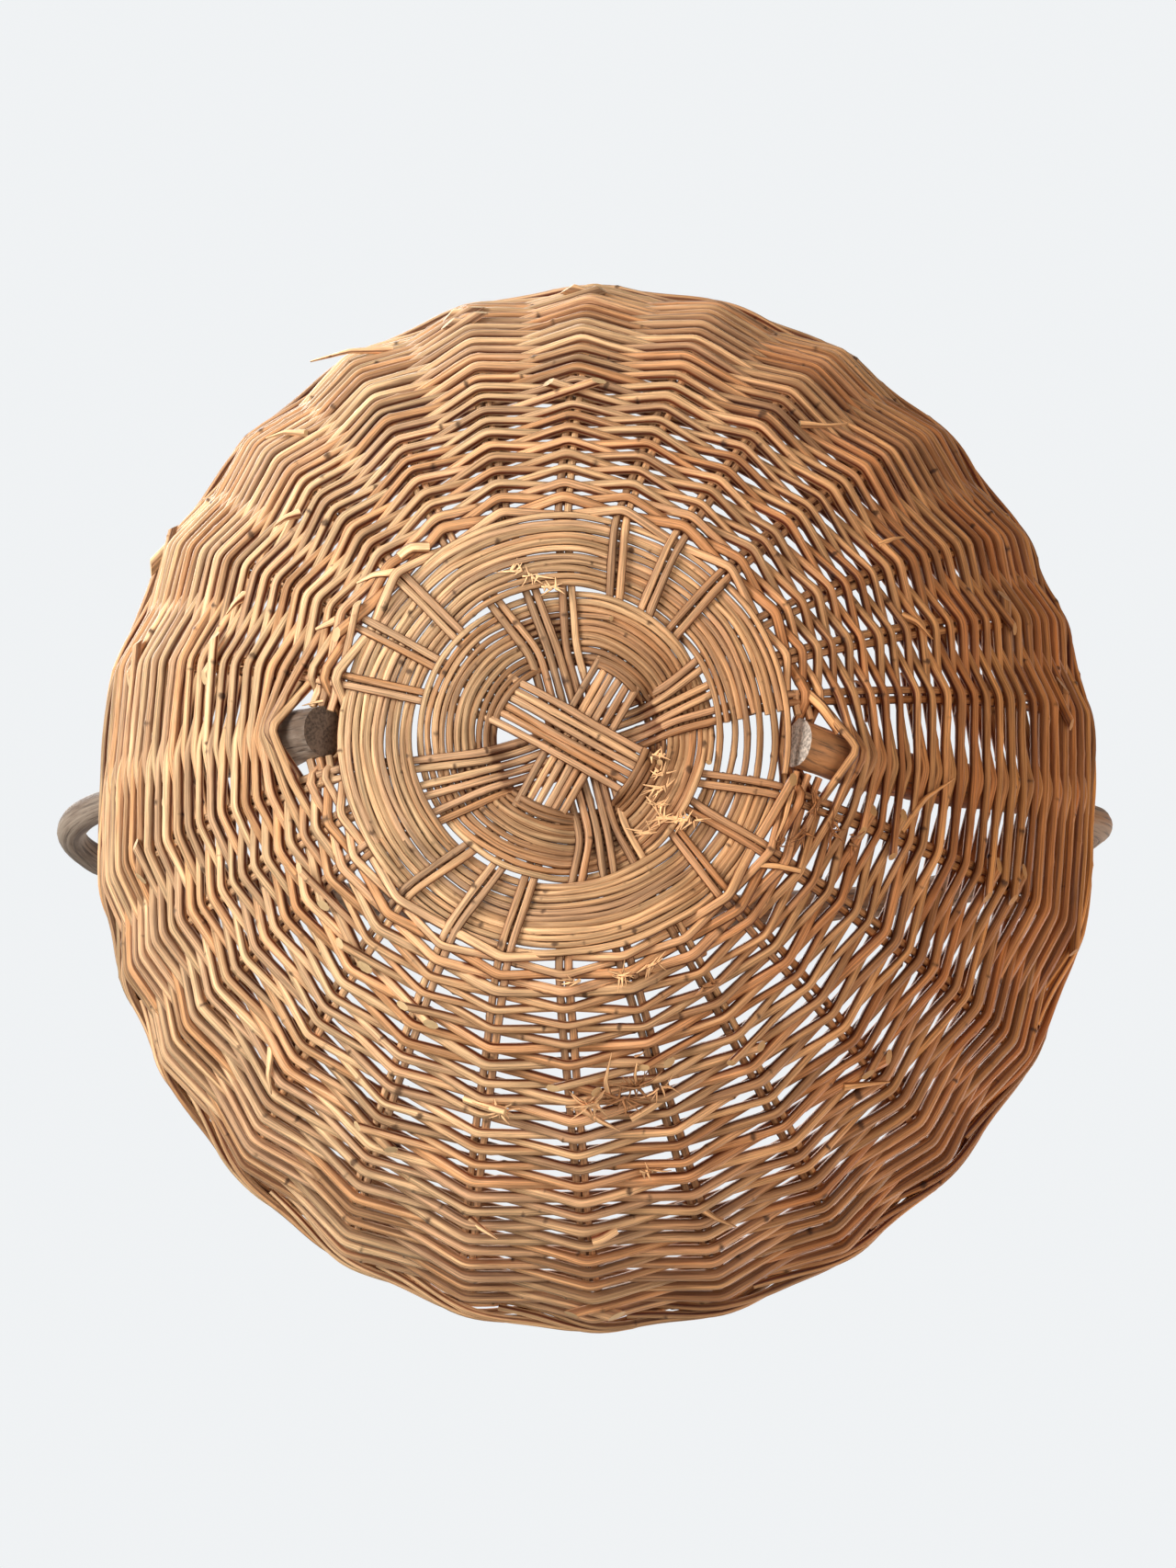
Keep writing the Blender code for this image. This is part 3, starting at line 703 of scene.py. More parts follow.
def out_of_basket(points):
    """The direction out of the basket's side or underside at each point."""
    climb = np.clip(points[:, 2] / bpy.context.scene.basket_form.rim_height, 0.0, 1.0)
    tilt = np.where(points[:, 2] < UNDERSIDE_TOP, math.pi / 2, FOOT_TILT - TILT_LOSS * climb)
    level = points[:, :2] / np.maximum(np.linalg.norm(points[:, :2], axis=1, keepdims=True), 1e-9)
    return np.concatenate((level * np.cos(tilt)[:, None], -np.sin(tilt)[:, None]), axis=1)


def rods_to_tubes(name, rods, sides):
    """A mesh object with a closed tube for each rod."""
    curve = bpy.data.curves.new(name, "CURVE")
    curve.dimensions = "3D"
    curve.bevel_depth = 1.0
    curve.bevel_resolution = sides // 2 - 2
    for rod in rods:
        spline = curve.splines.new("POLY")
        spline.points.add(len(rod.line) - 1)
        spots = np.concatenate((rod.line, np.ones((len(rod.line), 1))), axis=1)
        spline.points.foreach_set("co", spots.ravel())
        spline.points.foreach_set("radius", rod.radii)
    piece = bpy.data.objects.new(name, curve)
    bpy.context.scene.collection.objects.link(piece)
    select_only(piece)
    bpy.ops.object.convert(target="MESH")
    return piece


def rods_to_mesh(name, rods, material, seed, sides=ROD_SIDES):
    """Turns rods into one mesh of closed tubes, with the attributes that their material reads."""
    piece = rods_to_tubes(name, rods, sides)
    mesh = piece.data
    rings = sum(len(rod.line) for rod in rods)
    if len(mesh.vertices) != rings * sides:
        raise RuntimeError(f"{name} has {len(mesh.vertices)} vertices for {rings} rings")
    places = np.empty(rings * sides * 3)
    mesh.vertices.foreach_get("co", places)
    places = places.reshape(rings, sides, 3)
    grain, tones, marks_and_shade = np.zeros((3, rings, sides, 3))
    rng = np.random.default_rng(seed)
    angles = np.arange(sides) * 2 * math.pi / sides
    first = 0
    for rod in rods:
        last = first + len(rod.line) - 1
        rod_rings = slice(first, last + 1)
        middle = rod.line[:, None]
        radius = float(np.median(rod.radii))
        grain[rod_rings, :, 0] = np.cos(angles) * radius
        grain[rod_rings, :, 1] = np.sin(angles) * radius
        grain[rod_rings, :, 2] = rod.lengths[:, None] + rng.uniform(0.0, 40.0)
        tones[rod_rings] = rod.tone
        bud_side = np.clip(np.cos(angles - rod.scar_turns[:, None]), 0.0, 1.0)
        marks_and_shade[rod_rings, :, 0] = rod.scars[:, None] * bud_side
        marks_and_shade[rod_rings, :, 1] = rod.cuts[:, None]
        # The third mark is how squarely each side faces out of or into the basket; the material
        # paints shade on the sides that face the neighbouring rods
        around = places[rod_rings] - middle
        around /= np.maximum(np.linalg.norm(around, axis=2, keepdims=True), 1e-9)
        marks_and_shade[rod_rings, :, 2] = np.abs(np.sum(around * out_of_basket(rod.line)[:, None], axis=2))
        bud = 1.0 + BUD_SWELL * marks_and_shade[rod_rings, :, 0:1]
        places[rod_rings] = middle + (places[rod_rings] - middle) * bud
        slant_ends(places, rod, first, last)
        first = last + 1
    mesh.vertices.foreach_set("co", places.ravel())
    for label, values in (("grain", grain), ("tone", tones), ("marks_and_shade", marks_and_shade)):
        attribute = mesh.attributes.new(label, "FLOAT_VECTOR", "POINT")
        attribute.data.foreach_set("vector", values.ravel())
    bpy.ops.object.mode_set(mode="EDIT")
    bpy.ops.mesh.select_all(action="SELECT")
    bpy.ops.mesh.remove_doubles(threshold=0.000002)
    bpy.ops.mesh.normals_make_consistent(inside=False)
    bpy.ops.object.mode_set(mode="OBJECT")
    bpy.ops.object.shade_smooth_by_angle(angle=math.radians(60.0))
    mesh.materials.clear()
    mesh.materials.append(material)
    return piece


def place_piece(piece, slot, *nodes):
    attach(piece, BODY)
    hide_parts(*nodes)


# Materials

def new_node(tree, kind, **values):
    node = tree.nodes.new(kind)
    for key, value in values.items():
        setattr(node, key, value)
    return node


def link(tree, source, target):
    tree.links.new(source, target)


def fill(tree, socket, value):
    """Sets a socket to a number or a colour, or links another socket to it."""
    if isinstance(value, bpy.types.NodeSocket):
        link(tree, value, socket)
    elif isinstance(value, (int, float)):
        socket.default_value = value
    else:
        socket.default_value = (*value, 1.0)


def attribute_of(tree, name):
    node = new_node(tree, "ShaderNodeAttribute", attribute_name=name, attribute_type="GEOMETRY")
    return node.outputs["Vector"]


def object_place(tree):
    return new_node(tree, "ShaderNodeTexCoord").outputs["Object"]


def span(tree, value, low, high, out_low=0.0, out_high=1.0):
    """Maps a value from one range to another and clamps it."""
    node = new_node(tree, "ShaderNodeMapRange", interpolation_type="SMOOTHSTEP")
    for label, given in (("Value", value), ("From Min", low), ("From Max", high),
                         ("To Min", out_low), ("To Max", out_high)):
        fill(tree, node.inputs[label], given)
    return node.outputs["Result"]


def maths(tree, operation, first, second):
    node = new_node(tree, "ShaderNodeMath", operation=operation)
    fill(tree, node.inputs[0], first)
    fill(tree, node.inputs[1], second)
    return node.outputs["Value"]


def plus_share(tree, value, part, share):
    """A value with a share of another added to it."""
    return maths(tree, "ADD", value, maths(tree, "MULTIPLY", part, share))


def shaded(plain, share):
    """A colour made darker or lighter."""
    return tuple(min(share * part, 1.0) for part in plain)


def blend(tree, factor, first, second, mode="MIX"):
    """Mixes two colours, each a socket or a colour."""
    node = new_node(tree, "ShaderNodeMix", data_type="RGBA", blend_type=mode, clamp_factor=True)
    for number, value in ((0, factor), (6, first), (7, second)):
        fill(tree, node.inputs[number], value)
    return node.outputs[2]


def new_material(name):
    material = bpy.data.materials.new(name)
    material.use_nodes = True
    return material, material.node_tree, material.node_tree.nodes["Principled BSDF"]


def add_bump(tree, shader, height, distance, strength):
    bump = new_node(tree, "ShaderNodeBump")
    bump.inputs["Strength"].default_value = strength
    bump.inputs["Distance"].default_value = distance
    link(tree, height, bump.inputs["Height"])
    link(tree, bump.outputs["Normal"], shader.inputs["Normal"])


def new_group(name, inputs, outputs):
    """A shader node group with named sockets; gives the group, its input and its output node."""
    tree = bpy.data.node_groups.new(name, "ShaderNodeTree")
    for label, kind in inputs:
        tree.interface.new_socket(label, in_out="INPUT", socket_type=f"NodeSocket{kind}")
    for label, kind in outputs:
        tree.interface.new_socket(label, in_out="OUTPUT", socket_type=f"NodeSocket{kind}")
    return tree, new_node(tree, "NodeGroupInput"), new_node(tree, "NodeGroupOutput")


def place_group(tree, group, **values):
    """Puts a node group into a material and sets or links its named sockets."""
    node = new_node(tree, "ShaderNodeGroup", node_tree=group)
    for label, value in values.items():
        fill(tree, node.inputs[label], value)
    return node


def drawn_noise_group():
    """Noise drawn out along the rod, for its patches, streaks and fine grain."""
    name = "Drawn-out noise"
    if name in bpy.data.node_groups:
        return bpy.data.node_groups[name]
    tree, given, result = new_group(name, (("Grain", "Vector"), ("Across", "Float"),
                                           ("Along", "Float"), ("Detail", "Float")),
                                    (("Value", "Float"),))
    scale = new_node(tree, "ShaderNodeCombineXYZ")
    for axis, label in (("X", "Across"), ("Y", "Across"), ("Z", "Along")):
        link(tree, given.outputs[label], scale.inputs[axis])
    drawn = new_node(tree, "ShaderNodeVectorMath", operation="MULTIPLY")
    link(tree, given.outputs["Grain"], drawn.inputs[0])
    link(tree, scale.outputs["Vector"], drawn.inputs[1])
    texture = new_node(tree, "ShaderNodeTexNoise")
    texture.inputs["Scale"].default_value = 1.0
    texture.inputs["Roughness"].default_value = 0.6
    link(tree, drawn.outputs["Vector"], texture.inputs["Vector"])
    link(tree, given.outputs["Detail"], texture.inputs["Detail"])
    link(tree, texture.outputs["Fac"], result.inputs["Value"])
    return tree


def drawn_noise(tree, grain, across, along, detail=3.0):
    node = place_group(tree, drawn_noise_group(), Grain=grain, Across=across, Along=along,
                       Detail=detail)
    return node.outputs["Value"]


def parts_of(tree, vector):
    node = new_node(tree, "ShaderNodeSeparateXYZ")
    link(tree, vector, node.inputs["Vector"])
    return node.outputs


def willow_skin_group():
    """Willow skin: golden, russet and weathered patches, streaks, scars, pale cuts, painted shade
    and light.
    """
    name = "Willow skin"
    if name in bpy.data.node_groups:
        return bpy.data.node_groups[name]
    tree, given, result = new_group(
        name,
        (("Grain", "Vector"), ("Tone", "Vector"), ("Marks", "Vector"), ("Golden", "Color"),
         ("Russet", "Color"), ("Weathered", "Color"), ("Scar", "Color"), ("Cut", "Color"),
         ("Grime", "Color"), ("Warmth", "Float"), ("Lightness", "Float")),
        (("Colour", "Color"), ("Roughness", "Float"), ("Height", "Float")))
    grain = given.outputs["Grain"]
    tone = parts_of(tree, given.outputs["Tone"])
    marks_and_shade = parts_of(tree, given.outputs["Marks"])
    patches = drawn_noise(tree, grain, 240.0, 13.0)
    skin = drawn_noise(tree, grain, 420.0, 26.0, 4.0)
    streaks = drawn_noise(tree, grain, 1300.0, 36.0)
    fine = drawn_noise(tree, grain, 900.0, 500.0)
    warm = plus_share(tree, patches, tone["X"], 0.75)
    warm = maths(tree, "ADD", warm, given.outputs["Warmth"])
    russet = span(tree, warm, 0.70, 1.12)
    shade = blend(tree, russet, given.outputs["Golden"], given.outputs["Russet"])
    aged = plus_share(tree, skin, tone["Z"], 0.50)
    shade = blend(tree, span(tree, aged, 0.68, 1.00, 0.0, 0.88), shade, given.outputs["Weathered"])
    streaked = span(tree, streaks, 0.30, 0.70, 0.54, 1.24)
    light = span(tree, tone["Y"], 0.0, 1.0, 0.66, 1.30)
    light = maths(tree, "MULTIPLY", light, given.outputs["Lightness"])
    light = grey(tree, maths(tree, "MULTIPLY", streaked, light))
    shade = blend(tree, 1.0, shade, light, "MULTIPLY")
    speckled = plus_share(tree, marks_and_shade["X"], fine, 0.5)
    shade = blend(tree, span(tree, speckled, 0.52, 1.00, 0.0, 0.9), shade, given.outputs["Scar"])
    # Painted shade: the rods' sides that face their neighbours darken towards the shade colour,
    # broken up by the skin's noise, and the sides that face out or in are lit up a little as
    # painted light
    painted_shade = plus_share(tree, marks_and_shade["Z"], skin, 0.5)
    painted_shading = blend(tree, span(tree, painted_shade, 0.34, 1.00), given.outputs["Grime"], (1.08, 1.08, 1.08))
    shade = blend(tree, 1.0, shade, painted_shading, "MULTIPLY")
    shade = blend(tree, span(tree, marks_and_shade["Y"], 0.05, 0.6), shade, given.outputs["Cut"])
    link(tree, shade, result.inputs["Colour"])
    link(tree, span(tree, skin, 0.3, 0.7, 0.44, 0.66), result.inputs["Roughness"])
    relief = plus_share(tree, maths(tree, "MULTIPLY", streaks, 0.7), fine, 0.3)
    link(tree, relief, result.inputs["Height"])
    return tree


def willow_material(name):
    """Willow in the scene's colours, as red and as light as its kind; painted shade towards +X."""
    if name in bpy.data.materials:
        return bpy.data.materials[name]
    colours = bpy.context.scene.willow_colours
    warmth, lightness = WILLOWS[name]
    material, tree, shader = new_material(name)
    skin = place_group(tree, willow_skin_group(),
                       Grain=attribute_of(tree, "grain"), Tone=attribute_of(tree, "tone"),
                       Marks=attribute_of(tree, "marks_and_shade"), Golden=colours.golden,
                       Russet=colours.russet, Weathered=colours.weathered, Scar=colours.scar,
                       Cut=colours.pith, Grime=colours.painted_shade, Warmth=warmth, Lightness=lightness)
    # Painted shade: darker and browner towards +X, the side away from the key lamp
    place = parts_of(tree, object_place(tree))
    toward_shaded_side = span(tree, plus_share(tree, place["X"], place["Y"], 0.10), -0.12, 0.26)
    tint = blend(tree, toward_shaded_side, (1.0, 1.0, 1.0), colours.painted_shade_side)
    shade = blend(tree, 1.0, skin.outputs["Colour"], tint, "MULTIPLY")
    link(tree, shade, shader.inputs["Base Color"])
    link(tree, skin.outputs["Roughness"], shader.inputs["Roughness"])
    shader.inputs["Specular IOR Level"].default_value = 0.2
    add_bump(tree, shader, skin.outputs["Height"], 0.0007, 1.0)
    return material


def grey(tree, value):
    node = new_node(tree, "ShaderNodeCombineColor")
    for socket in node.inputs:
        link(tree, value, socket)
    return node.outputs["Color"]


def bark_material(name):
    """The branch's bark: dark and worn patches, cracks, and bare rind on the right leg."""
    branch = bpy.context.scene.branch_form
    material, tree, shader = new_material(name)
    grain = attribute_of(tree, "grain")
    place = parts_of(tree, object_place(tree))
    patches = drawn_noise(tree, grain, 90.0, 24.0, 4.0)
    cracks = drawn_noise(tree, grain, 620.0, 45.0, 5.0)
    fine = drawn_noise(tree, grain, 900.0, 700.0)
    on_right = span(tree, place["X"], -0.02, 0.12)
    on_leg = span(tree, place["Z"], 0.15, 0.20, 1.0, 0.0)
    bare = maths(tree, "MULTIPLY", on_right, maths(tree, "MAXIMUM", on_leg, 0.45))
    shade = blend(tree, span(tree, patches, 0.34, 0.60), branch.bark, branch.worn)
    rind = blend(tree, span(tree, patches, 0.35, 0.65), branch.rind, shaded(branch.rind, 0.55))
    shade = blend(tree, bare, shade, rind)
    cracked = span(tree, cracks, 0.34, 0.50, 0.75, 0.0)
    link(tree, blend(tree, cracked, shade, shaded(branch.bark, 0.30)), shader.inputs["Base Color"])
    link(tree, span(tree, patches, 0.3, 0.7, 0.60, 0.82), shader.inputs["Roughness"])
    relief = plus_share(tree, maths(tree, "MULTIPLY", cracks, 0.8), fine, 0.2)
    add_bump(tree, shader, relief, 0.0012, 0.9)
    return material


def face_material(name, wood, middle, direction):
    """A whittled face across the branch: speckled end grain with paler strokes."""
    material, tree, shader = new_material(name)
    centred = new_node(tree, "ShaderNodeVectorMath", operation="SUBTRACT")
    link(tree, object_place(tree), centred.inputs[0])
    centred.inputs[1].default_value = tuple(middle)
    turned = new_node(tree, "ShaderNodeMapping")
    upright = Vector(direction).to_track_quat("Z", "Y").inverted()
    turned.inputs["Rotation"].default_value = upright.to_euler()
    link(tree, centred.outputs["Vector"], turned.inputs["Vector"])
    speckle = drawn_noise(tree, turned.outputs["Vector"], 620.0, 60.0, 5.0)
    strokes = drawn_noise(tree, turned.outputs["Vector"], 170.0, 60.0)
    shade = blend(tree, span(tree, speckle, 0.40, 0.60), shaded(wood, 0.40), wood)
    shade = blend(tree, span(tree, strokes, 0.40, 0.66, 0.0, 0.45), shade, shaded(wood, 1.5))
    link(tree, shade, shader.inputs["Base Color"])
    shader.inputs["Roughness"].default_value = 0.85
    add_bump(tree, shader, speckle, 0.0005, 0.6)
    return material


# Pieces

def stake_rod_corners(form, rods, wall, bundle, place, side):
    """One rod of a pair: up the wall at one end, across the base and up at the other."""
    turn = BUNDLES[bundle][0]
    hub = np.array(form.hub)
    across = ray(turn + 90.0) * pair_offset(rods, place, side)
    halves = []
    for end in (1, -1):
        stake = stake_turn(bundle, place, end)
        aside = side * (rods.stake + rods.pair_gap) / 2 * end
        along = ray(turn) * end
        fan_start = hub + along * form.arm_start + across
        fan_end = ray(stake) * form.base_radius + ray(stake + 90.0) * aside
        level = [hub + along * reach + across for reach in (*CROSSING_CORNERS, form.cross_reach)]
        level += [fan_start + (fan_end - fan_start) * share for share in ARM_CORNERS]
        corners = [spot + UP * arm_height(form, bundle, spot) for spot in level]
        for climb in np.linspace(WALL_CORNERS_START, wall.length, WALL_CORNERS):
            corners.append(wall.point(stake, climb) + wall.around(stake, climb) * aside)
        halves.append(corners)
    return halves[0][::-1] + halves[1]


def make_stakes():
    form, rods, _ = settings()
    wall = Wall(form)
    material = willow_material("willow_stake_rods")
    pairs = [(bundle, place) for bundle in BUNDLES for place in PAIR_PLACES]
    for number, (bundle, place) in enumerate(pairs):
        rng = np.random.default_rng(STAKE_SEEDS[0] + number)
        laid = []
        for side in (-1, 1):
            corners = stake_rod_corners(form, rods, wall, bundle, place, side)
            size = rods.stake * rng.uniform(0.94, 1.02)
            laid.append(lay_rod(corners, (size, size), rod_tone(rng, 0.50, 0.80), rng,
                                rounding=0.010, wander=0.0003, scar_gap=0.024))
        name = f"stake_pair_{bundle}{PAIR_PLACES.index(place) + 1}"
        piece = rods_to_mesh(f"willow_{name}", laid, material, STAKE_SEEDS[1] + number)
        place_piece(piece, "stake_willow", name)


@dataclass
class BaseBand:
    """A band of base weaving: its rows, its first and last radius, and how it is woven."""
    rows: int
    first: float
    last: float
    thickness: float
    outside_arms: tuple
    off_middle: float = 0.0
    broken_rows: tuple = ()

    def side(self, bundle):
        """-1 where a bundle's arms hold the weavers under them and 1 where they lie over them."""
        return -1.0 if bundle in self.outside_arms else 1.0

    def radius(self, hub, row, turn, turned=0.0):
        """The radius of a row at a turn: inner rows may lie around the crossing, off the middle."""
        off_middle = self.off_middle * (1.0 - row / self.rows) * (ray(turn) @ hub)
        pitch = (self.last - self.first) / self.rows
        return self.first + pitch * (row + turned) + off_middle


def arm_turn(bundle, end):
    return BUNDLES[bundle][0] + (0.0 if end > 0 else 180.0)


def arm_edges(form, rods, bundle, end, radius):
    """The turns between which an arm's three pairs lie at some distance from the middle."""
    middle = arm_turn(bundle, end)
    edges = []
    for place in (PAIR_PLACES[0], PAIR_PLACES[-1]):
        across = ray(BUNDLES[bundle][0] + 90.0) * pair_offset(rods, place, 0)
        start = np.array(form.hub) + ray(middle) * form.arm_start + across
        run = ray(stake_turn(bundle, place, end)) * form.base_radius - start
        square, slope, rest = run @ run, start @ run, start @ start - radius ** 2
        share = (-slope + math.sqrt(max(slope ** 2 - square * rest, 0.0))) / square
        spot = start + run * max(share, -0.2)
        away = math.degrees(math.atan2(spot[1], spot[0])) - middle
        edges.append((away + 180.0) % 360.0 - 180.0)
    margin = math.degrees(ARM_MARGIN / radius)
    return middle + min(edges) - margin, middle + max(edges) + margin


def base_ring(form, rods, band, rng):
    """The corners of a band's spiral: below the arms that it holds and above the others."""
    arms = [(bundle, end) for end in (1, -1) for bundle in BUNDLES]
    hub = np.array(form.hub)
    reach = (rods.stake + band.thickness) / 2
    corners = []
    for row in range(band.rows):
        for spot, (bundle, end) in enumerate(arms):
            following, next_end = arms[(spot + 1) % len(arms)]
            radius = band.radius(hub, row, arm_turn(bundle, end))
            low, high = arm_edges(form, rods, bundle, end, radius)
            next_low = arm_edges(form, rods, following, next_end, radius)[0]
            if spot + 1 == len(arms):
                next_low += 360.0
            side, step = band.side(bundle), band.side(following) - band.side(bundle)
            lift = rng.normal(0.0, BASE_STRAY)
            passes = [(low + (high - low) * share, side) for share in ON_ARM]
            for share in AFTER_ARM:
                crossing = side + step * smooth_step(0.0, 1.0, share)
                passes.append((high + (next_low - high) * share, crossing))
            for turn, over in passes:
                turned = (turn - arm_turn(*arms[0])) / 360.0
                level = ray(turn) * band.radius(hub, row, turn, turned)
                height = arm_height(form, bundle, level) + over * reach + lift
                corners.append(level + UP * height)
    return corners


def unbroken_parts(run, broken_rows):
    """What is left of a rod's run of corners where its row is broken away."""
    start, ending = run
    parts = []
    for row in broken_rows:
        resumes = (row + 1) * CORNERS_PER_ARM * 2 * len(BUNDLES)
        breaks_off = resumes - len(AFTER_ARM) - 1
        if start <= breaks_off and resumes <= ending:
            parts.append((start, breaks_off))
            start = resumes
    parts.append((start, ending))
    return [(first, last) for first, last in parts if last - first >= CORNERS_PER_ARM / 2]


def make_base_band(name, node, band, seeds):
    form, rods, _ = settings()
    rng = np.random.default_rng(seeds[0])
    corners = base_ring(form, rods, band, rng)
    joints = range(0, len(corners), CORNERS_PER_ARM)
    runs = rod_runs(corners, joints, rods.shortest_base, rods.longest_base, rng)
    laid = []
    for run in runs:
        for first, last in unbroken_parts(run, band.broken_rows):
            size = band.thickness * rng.uniform(0.88, 1.03)
            stretch = tucked_ends(corners[first:last + 1], size, rng, 0.3)
            laid.append(lay_rod(stretch, (size * 1.06, size * 0.86), rod_tone(rng, 0.40, 0.42),
                                rng, rounding=0.012, wander=0.00035, scar_gap=0.020))
    piece = rods_to_mesh(name, laid, willow_material("willow_base_rods"), seeds[1])
    place_piece(piece, "base_willow", node)


def make_base_weave():
    """The inner band lies outside the arms of a and c, the outer one outside those of b and d."""
    form, rods, _ = settings()
    inner = BaseBand(rods.base_rows, form.inner_start, form.inner_end, rods.inner_base,
                     ("a", "c"), off_middle=INNER_OFF_MIDDLE)
    outer = BaseBand(rods.base_rows, form.outer_start, form.outer_end, rods.outer_base,
                     ("b", "d"), broken_rows=BROKEN_ROWS)
    make_base_band("willow_base_inner", "base_weave_inner", inner, INNER_SEEDS)
    make_base_band("willow_base_outer", "base_weave_outer", outer, OUTER_SEEDS)


def rod_runs(corners, joints, shortest, longest, rng):
    """Shares a long line of corners among rods that are laid end to end at its joints."""
    reach = reach_along(corners)
    joints = sorted(set(joints) | {0, len(corners) - 1})
    runs = []
    start = joints[0]
    while start != joints[-1]:
        wanted = reach[start] + rng.uniform(shortest, longest)
        later = [joint for joint in joints if joint > start]
        ending = min(later, key=lambda joint: abs(reach[joint] - wanted))
        if reach[-1] - reach[ending] < 0.3 * shortest:
            ending = joints[-1]
        runs.append((start, ending))
        start = ending
    return runs


@dataclass
class Bend:
    """One bend of the side's spiral; side is 1 outside a stake, -1 inside it and 0 at a leg."""
    point: np.ndarray
    side: float
    turn: float
    along: float


def weaver_thickness(rods, wall, along):
    return rods.low_weaver + (rods.high_weaver - rods.low_weaver) * along / wall.length


def stake_bend(rods, wall, row, spot, stakes, rng):
    """Where the spiral passes a stake, outside one and inside the next."""
    rounds, stake = divmod(spot, len(stakes))
    turn = stakes[stake] + 360.0 * rounds
    side = 1.0 if (spot + row + rounds) % 2 == 0 else -1.0
    along = row_height(rods, wall, row + turn / 360.0)
    along += rods.row_stray * wall.stray(turn, along) + rng.normal(0.0, rods.row_stray * 0.5)
    radius = np.linalg.norm(wall.point(turn, along)[:2])
    half_span = math.radians(STAKE_PITCH) * radius / 2
    reach = (rods.stake + weaver_thickness(rods, wall, along)) / 2
    slope = reach / half_span + side * half_span / radius
    offset = side * (reach + max(slope, 0.0) * rods.corner / 3)
    return Bend(wall.offset(turn, along, offset), side, turn, along)


def leg_bend(rods, branch, wall, row, leg_turn, near, far):
    """How a row goes round the handle's leg: inside it near the foot, outside it above."""
    along = row_height(rods, wall, row + leg_turn / 360.0)
    along += rods.row_stray * wall.stray(leg_turn, along)
    side = -1.0 if along < branch.leg_crossing else 1.0
    centre = leg_offset(branch, along)
    radius = leg_radius(branch, wall, along)
    slope = (leg_offset(branch, along + STEP) - leg_offset(branch, along - STEP)) / (2 * STEP)
    room = OUTSIDE_ROOM if side > 0 else INSIDE_ROOM
    clearance = weaver_thickness(rods, wall, along) / 2 + room
    wide = radius + clearance
    deep = radius * math.hypot(1.0, slope) + clearance
    aside = leg_aside(leg_turn % 360.0, along / wall.length)
    rise = 0.0
    for bend, away in ((near, -1.0), (far, 1.0)):
        distance = math.radians(abs(bend.turn - leg_turn)) * np.linalg.norm(bend.point[:2])
        stake_side = side * (bend.side * STAKE_OFFSET - centre)
        rise = max(rise, tangent_height(stake_side, distance - away * aside, wide, deep))
    rise = min(rise, deep + MOST_RISE)
    rise += rise / LEG_TO_STAKE * rods.corner / 3
    offset = centre + side * rise
    push = PUSH_BELOW
    if side > 0:
        offset = max(offset, LEAST_OUT)
        push = PUSH_ABOVE * math.exp(-(along - branch.leg_crossing) / PUSH_REACH)
    point = wall.offset(leg_turn, along + push, offset) + wall.around(leg_turn, along) * aside
    return Bend(point, 0.0, leg_turn, along)


def tangent_height(stake_side, distance, wide, deep):
    """How far out a straight rod from a stake must be over a leg's middle to just touch it."""
    spare = distance ** 2 - wide ** 2
    inner = (stake_side * distance) ** 2 - spare * (stake_side ** 2 - deep ** 2)
    rise = (-stake_side * distance + math.sqrt(max(inner, 0.0))) / spare
    return max(stake_side + rise * distance, deep)


def spiral_bends(rods, branch, wall, first_row, last_row, rng):
    """The bends of some turns of the side's spiral, from the first stake round to it again."""
    stakes = stake_turns()
    legs = sorted(turn or 360.0 for turn in LEG_SWAYS)
    bends = [stake_bend(rods, wall, first_row, 0, stakes, rng)]
    for row in range(first_row, last_row):
        for spot in range(len(stakes)):
            near = bends[-1] if spot else replace(bends[-1], turn=stakes[0])
            far = stake_bend(rods, wall, row, spot + 1, stakes, rng)
            bends += [leg_bend(rods, branch, wall, row, leg_turn, near, far)
                      for leg_turn in legs if near.turn < leg_turn < far.turn]
            bends.append(far)
    return bends


def before_right_leg(spots):
    """1 in front of the right leg, falling away towards the stakes beside it."""
    turns = np.degrees(np.arctan2(spots[:, 1], spots[:, 0]))
    return np.exp(-(turns / FINER_REACH) ** 2)


def make_side_weave():
    form, rods, branch = settings()
    wall = Wall(form)
    material = willow_material("willow_side_rods")
    rows = band_rows(rods, branch, wall)
    for number, node in enumerate(SIDE_NODES):
        rng = np.random.default_rng(SIDE_SEEDS[0] + number)
        bends = spiral_bends(rods, branch, wall, rows[number], rows[number + 1], rng)
        corners = [bend.point for bend in bends]
        joints = [spot for spot, bend in enumerate(bends)
                  if bend.side < 0 or (bend.side > 0 and rng.random() < rods.outside_joints)]
        laid = []
        for start, ending in rod_runs(corners, joints, rods.shortest, rods.longest, rng):
            thick = weaver_thickness(rods, wall, bends[(start + ending) // 2].along)
            thick *= rng.uniform(0.98, 1.24)
            slants = tuple(wall.outward(bends[spot].turn, bends[spot].along) * rng.uniform(0.7, 1.6)
                           for spot in (start, ending))
            stretch = tucked_ends(corners[start:ending + 1], thick, rng)
            rod = lay_rod(stretch, (thick * 1.10, thick * 0.86), rod_tone(rng), rng,
                          rounding=rods.corner, slants=slants)
            rod.radii *= 1.0 - rods.finer_share * before_right_leg(rod.line)
            laid.append(rod)
        piece = rods_to_mesh(f"willow_{node}", laid, material, SIDE_SEEDS[1] + number)
        place_piece(piece, "weaver_willow", node)


def tucked_ends(corners, thick, rng, stretch=1.0):
    """Parts the two ends that meet at a stake and lets each stand out a little past it."""
    first = corners[0] + UP * (END_PARTING * thick)
    last = corners[-1] - UP * (END_PARTING * thick)
    corners = [first] + corners[1:-1] + [last]
    before = first + unit(first - corners[1]) * (stretch * rng.uniform(0.006, 0.013))
    after = last + unit(last - corners[-2]) * (stretch * rng.uniform(0.005, 0.013))
    return [before] + corners + [after]


